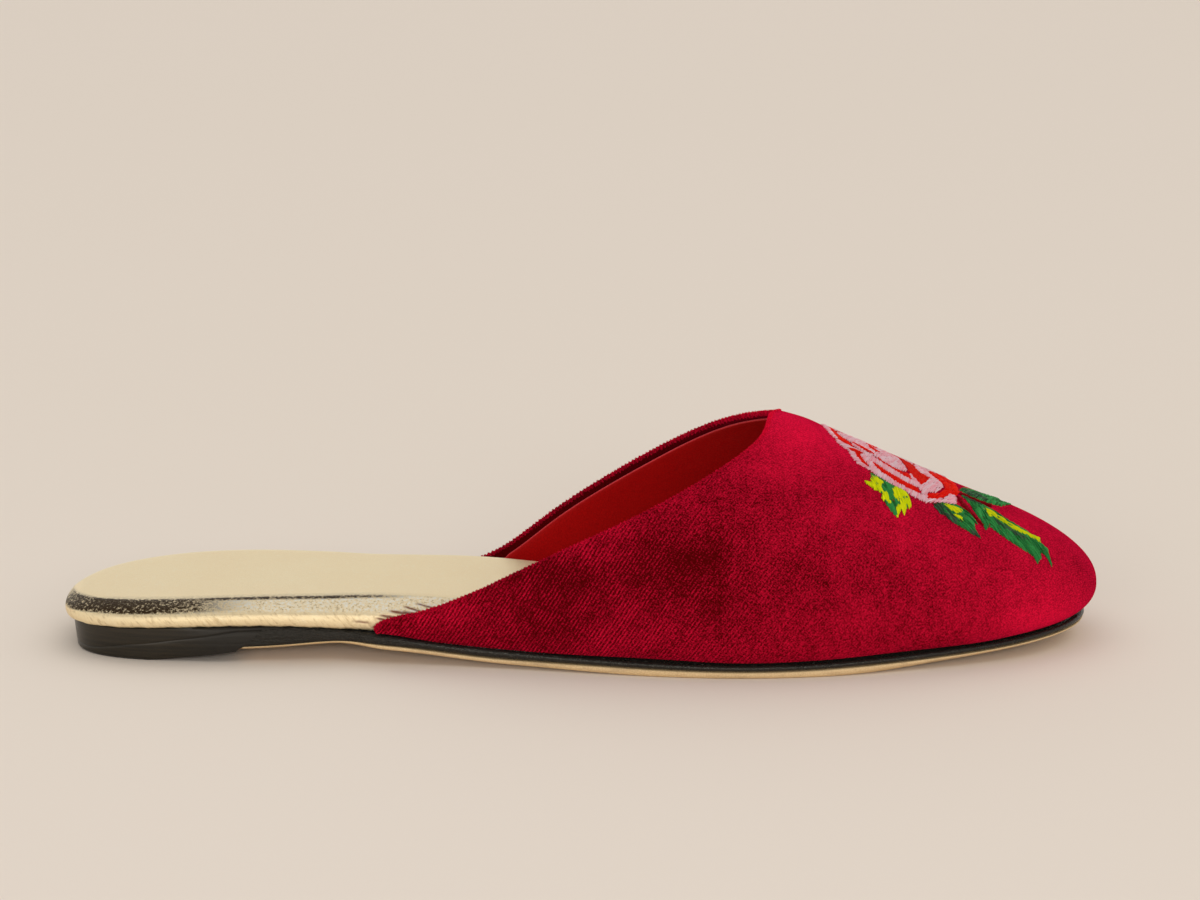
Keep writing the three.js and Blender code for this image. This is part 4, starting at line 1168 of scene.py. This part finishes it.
def stitch_tubes(first, last, lift):
    """Threads from one end to the other: a few points along, arched over the velvet by a sine and sunk
    into it at both ends, with a flattened five-sided section round them."""
    share = np.linspace(0, 1, thread_points)
    plan = first[:, None] + (last - first)[:, None] * share[:, None]
    point, normal = vamp_surface(plan[..., 0], plan[..., 1])
    arch = lift - 0.30 + 0.42 * np.sin(np.pi * np.clip(0.06 + 0.88 * share, 0, 1)) ** 0.45
    centre = point + arch[None, :, None] * normal
    along = unit(np.gradient(centre, axis=1))
    side = unit(np.cross(normal, along))
    width = thread_width * 0.5 * chance.uniform(0.85, 1.15, len(first))[:, None, None, None]
    thin = (0.55 + 0.45 * np.sin(np.pi * share) ** 0.5)[None, :, None, None]
    ring = np.cos(thread_corners)[:, None] * side[:, :, None]
    ring = ring + 0.62 * np.sin(thread_corners)[:, None] * normal[:, :, None]
    return centre[:, :, None] + width * thin * ring


def tube_faces(tubes):
    """Four-sided faces round each tube, and its two flat ends as four-sided and three-sided fans."""
    corner = np.arange(tubes[..., 0].size).reshape(tubes.shape[:3])
    turned = np.roll(corner, -1, axis=2)
    skin_faces = np.stack([corner[:, :-1], turned[:, :-1], turned[:, 1:], corner[:, 1:]], -1).reshape(-1, 4)
    start, end = corner[:, 0], corner[:, -1]
    caps = [start[:, [3, 2, 1, 0]], start[:, [4, 3, 0, 0]], end[:, [0, 1, 2, 3]], end[:, [0, 3, 4, 4]]]
    return np.concatenate([skin_faces, *caps])


# Thread sheen: the fine twist of two plies
twist_in, twist_out = new_group("thread_twist", {"Vector": ("NodeSocketVector", None)}, ("Twist",))
ply_place = stretched(twist_in["Vector"], (1.0, 1.0, 1.0), (0.0, 0.0, 0.6))
plies = {"Vector": ply_place, "Scale": 7.0, "Distortion": 1.0}
feed(twist_out, {"Twist": add_node(twist_out.id_data, "ShaderNodeTexWave", plies, output=1)})


def thread_material(name, dark, light):
    """Rayon thread: its dye between two tones, painted shade down its sides, a low sheen and slanting plies
    that shift the dye a little as a painted sheen.
    """
    material, tree, _ = new_material(name)
    twist = use_group("thread_twist", Vector=add_node(tree, "ShaderNodeUVMap", uv_map="cloth"))["Twist"]
    # The plies shift the dye a little lighter and darker: a painted sheen
    dyed = mixed(plus(times(mark(tree, "dye"), 0.8), times(twist, 0.2)), dark, light)
    # Down the thread's sides the colour falls to a deeper tone: painted shade
    sides = tuple(share ** 1.4 for share in dark)
    return finished(
        material, Base_Color=mixed(graded(mark(tree, "top"), 0.0, 1.0, 0.10, 0.48), sides, dyed),
        Roughness=graded(twist, 0.36, 0.50), Specular_IOR_Level=0.015, Specular_Tint=light, Sheen_Weight=0.40,
        Sheen_Tint=light, Normal=bumped(twist, 0.00005))


for thread, dark, light_tone, patches in threads:
    tubes, dyes = [], []
    for angle, lift, outline in patches:
        underlay = (underlay_turn, underlay_depth, underlay_spacing)
        for turn, depth, spacing in (underlay, (0, 0.0, thread_spacing)):
            first, last = stitch_lines(outline, angle + turn, spacing)
            tubes.append(stitch_tubes(first, last, lift + depth))
            dyes.append(chance.uniform(0, 1, len(first)))
    tubes, dyes = np.concatenate(tubes), np.concatenate(dyes)
    every = np.zeros(tubes.shape[:3])
    length = np.linalg.norm(tubes[:, -1, 0] - tubes[:, 0, 0], axis=-1)[:, None, None]
    run = np.linspace(0, 1, thread_points)[:, None] * length + every
    # The top mark is 1 over each thread and falls down its sides, where shade is painted
    make_piece(
        "stitches_" + thread, tubes, tube_faces(tubes), thread_material(thread + "_thread", dark, light_tone),
        uv=np.stack([run, np.arange(5) / 5 * thread_girth + every], -1),
        marks={"dye": dyes[:, None, None] + every, "top": 0.5 + 0.5 * np.sin(thread_corners) + every})

# Floor and light
# A plain pale floor that fills the view, a pale sky all round and two large soft lamps.
floor_size = 8.0
floor_mesh = bpy.data.meshes.new("floor")
floor_steps = np.linspace(-floor_size, floor_size, 9) / 2
floor_points = np.stack(np.meshgrid(floor_steps, floor_steps, [0.0], indexing="ij"), -1).reshape(-1, 3)
floor_mesh.from_pydata(floor_points.tolist(), [], grid_faces(9, 9).tolist())
paper, _, floor_place = new_material("floor_paper")
paper_tint = mixed(clouds(floor_place, 1.6, 2.0), (0.78, 0.700, 0.615), (0.80, 0.715, 0.645))
floor_mesh.materials.append(finished(paper, Base_Color=paper_tint, Roughness=0.9, Specular_IOR_Level=0.2))
put("floor", floor_mesh)

# The sky is pale round the horizon and darker overhead, where a studio has its ceiling
world = bpy.data.worlds.new("studio")
world.use_nodes = True
sky = world.node_tree
sky_place = add_node(sky, "ShaderNodeTexCoord", output=0)
sky_height = add_node(sky, "ShaderNodeSeparateXYZ", {0: sky_place}, output=2)
sky_colour = mixed(graded(sky_height, 0.0, 1.0, 0.42, 0.62), (0.97, 0.94, 0.88), (0.20, 0.19, 0.18))
feed(sky.nodes["Background"], {"Color": sky_colour, "Strength": 0.90})
bpy.context.scene.world = world

# One broad soft light from above and a little behind
sun_data = bpy.data.lights.new("soft_light", "SUN")
sun_data.angle = np.radians(100)
sun_data.energy = 1.52
sun_data.color = (1.0, 0.985, 0.96)
sun = put("soft_light", sun_data)
sun.rotation_euler = Vector((-0.08, -0.12, -1)).to_track_quat("-Z", "Y").to_euler()
sun.visible_glossy = False

# A long low lamp beyond the camera, whose reflection runs along the bead and the heel
lamp_data = bpy.data.lights.new("front_lamp", "AREA")
lamp_data.shape = "RECTANGLE"
lamp_data.size, lamp_data.size_y = 3.2, 0.6
lamp_data.energy = 32.0
lamp_data.color = (1.0, 0.98, 0.95)
lamp = put("front_lamp", lamp_data)
lamp.location = (0.0, -3.0, 1.0)
lamp.rotation_euler = Vector((0.0, 3.0, -1.0)).to_track_quat("-Z", "Y").to_euler()

# Camera
# It stands level with the shoe's outer side and looks slightly down, as the photograph does.
camera_elevation = np.radians(14.78)
camera_distance = 1.39647
camera_target = Vector((0.00447, 0.00078, 0.04769))
camera_back = Vector((0, -np.cos(camera_elevation), np.sin(camera_elevation)))
camera = put("camera", bpy.data.cameras.new("camera"))
camera.data.sensor_width = 36
camera.data.lens = 166.41
camera.data.clip_end = 30
camera.location = camera_target + camera_distance * camera_back
camera.rotation_mode = "QUATERNION"
camera.rotation_quaternion = (-camera_back).to_track_quat("-Z", "Y")
bpy.context.scene.camera = camera
bpy.context.scene.view_settings.view_transform = "Standard"
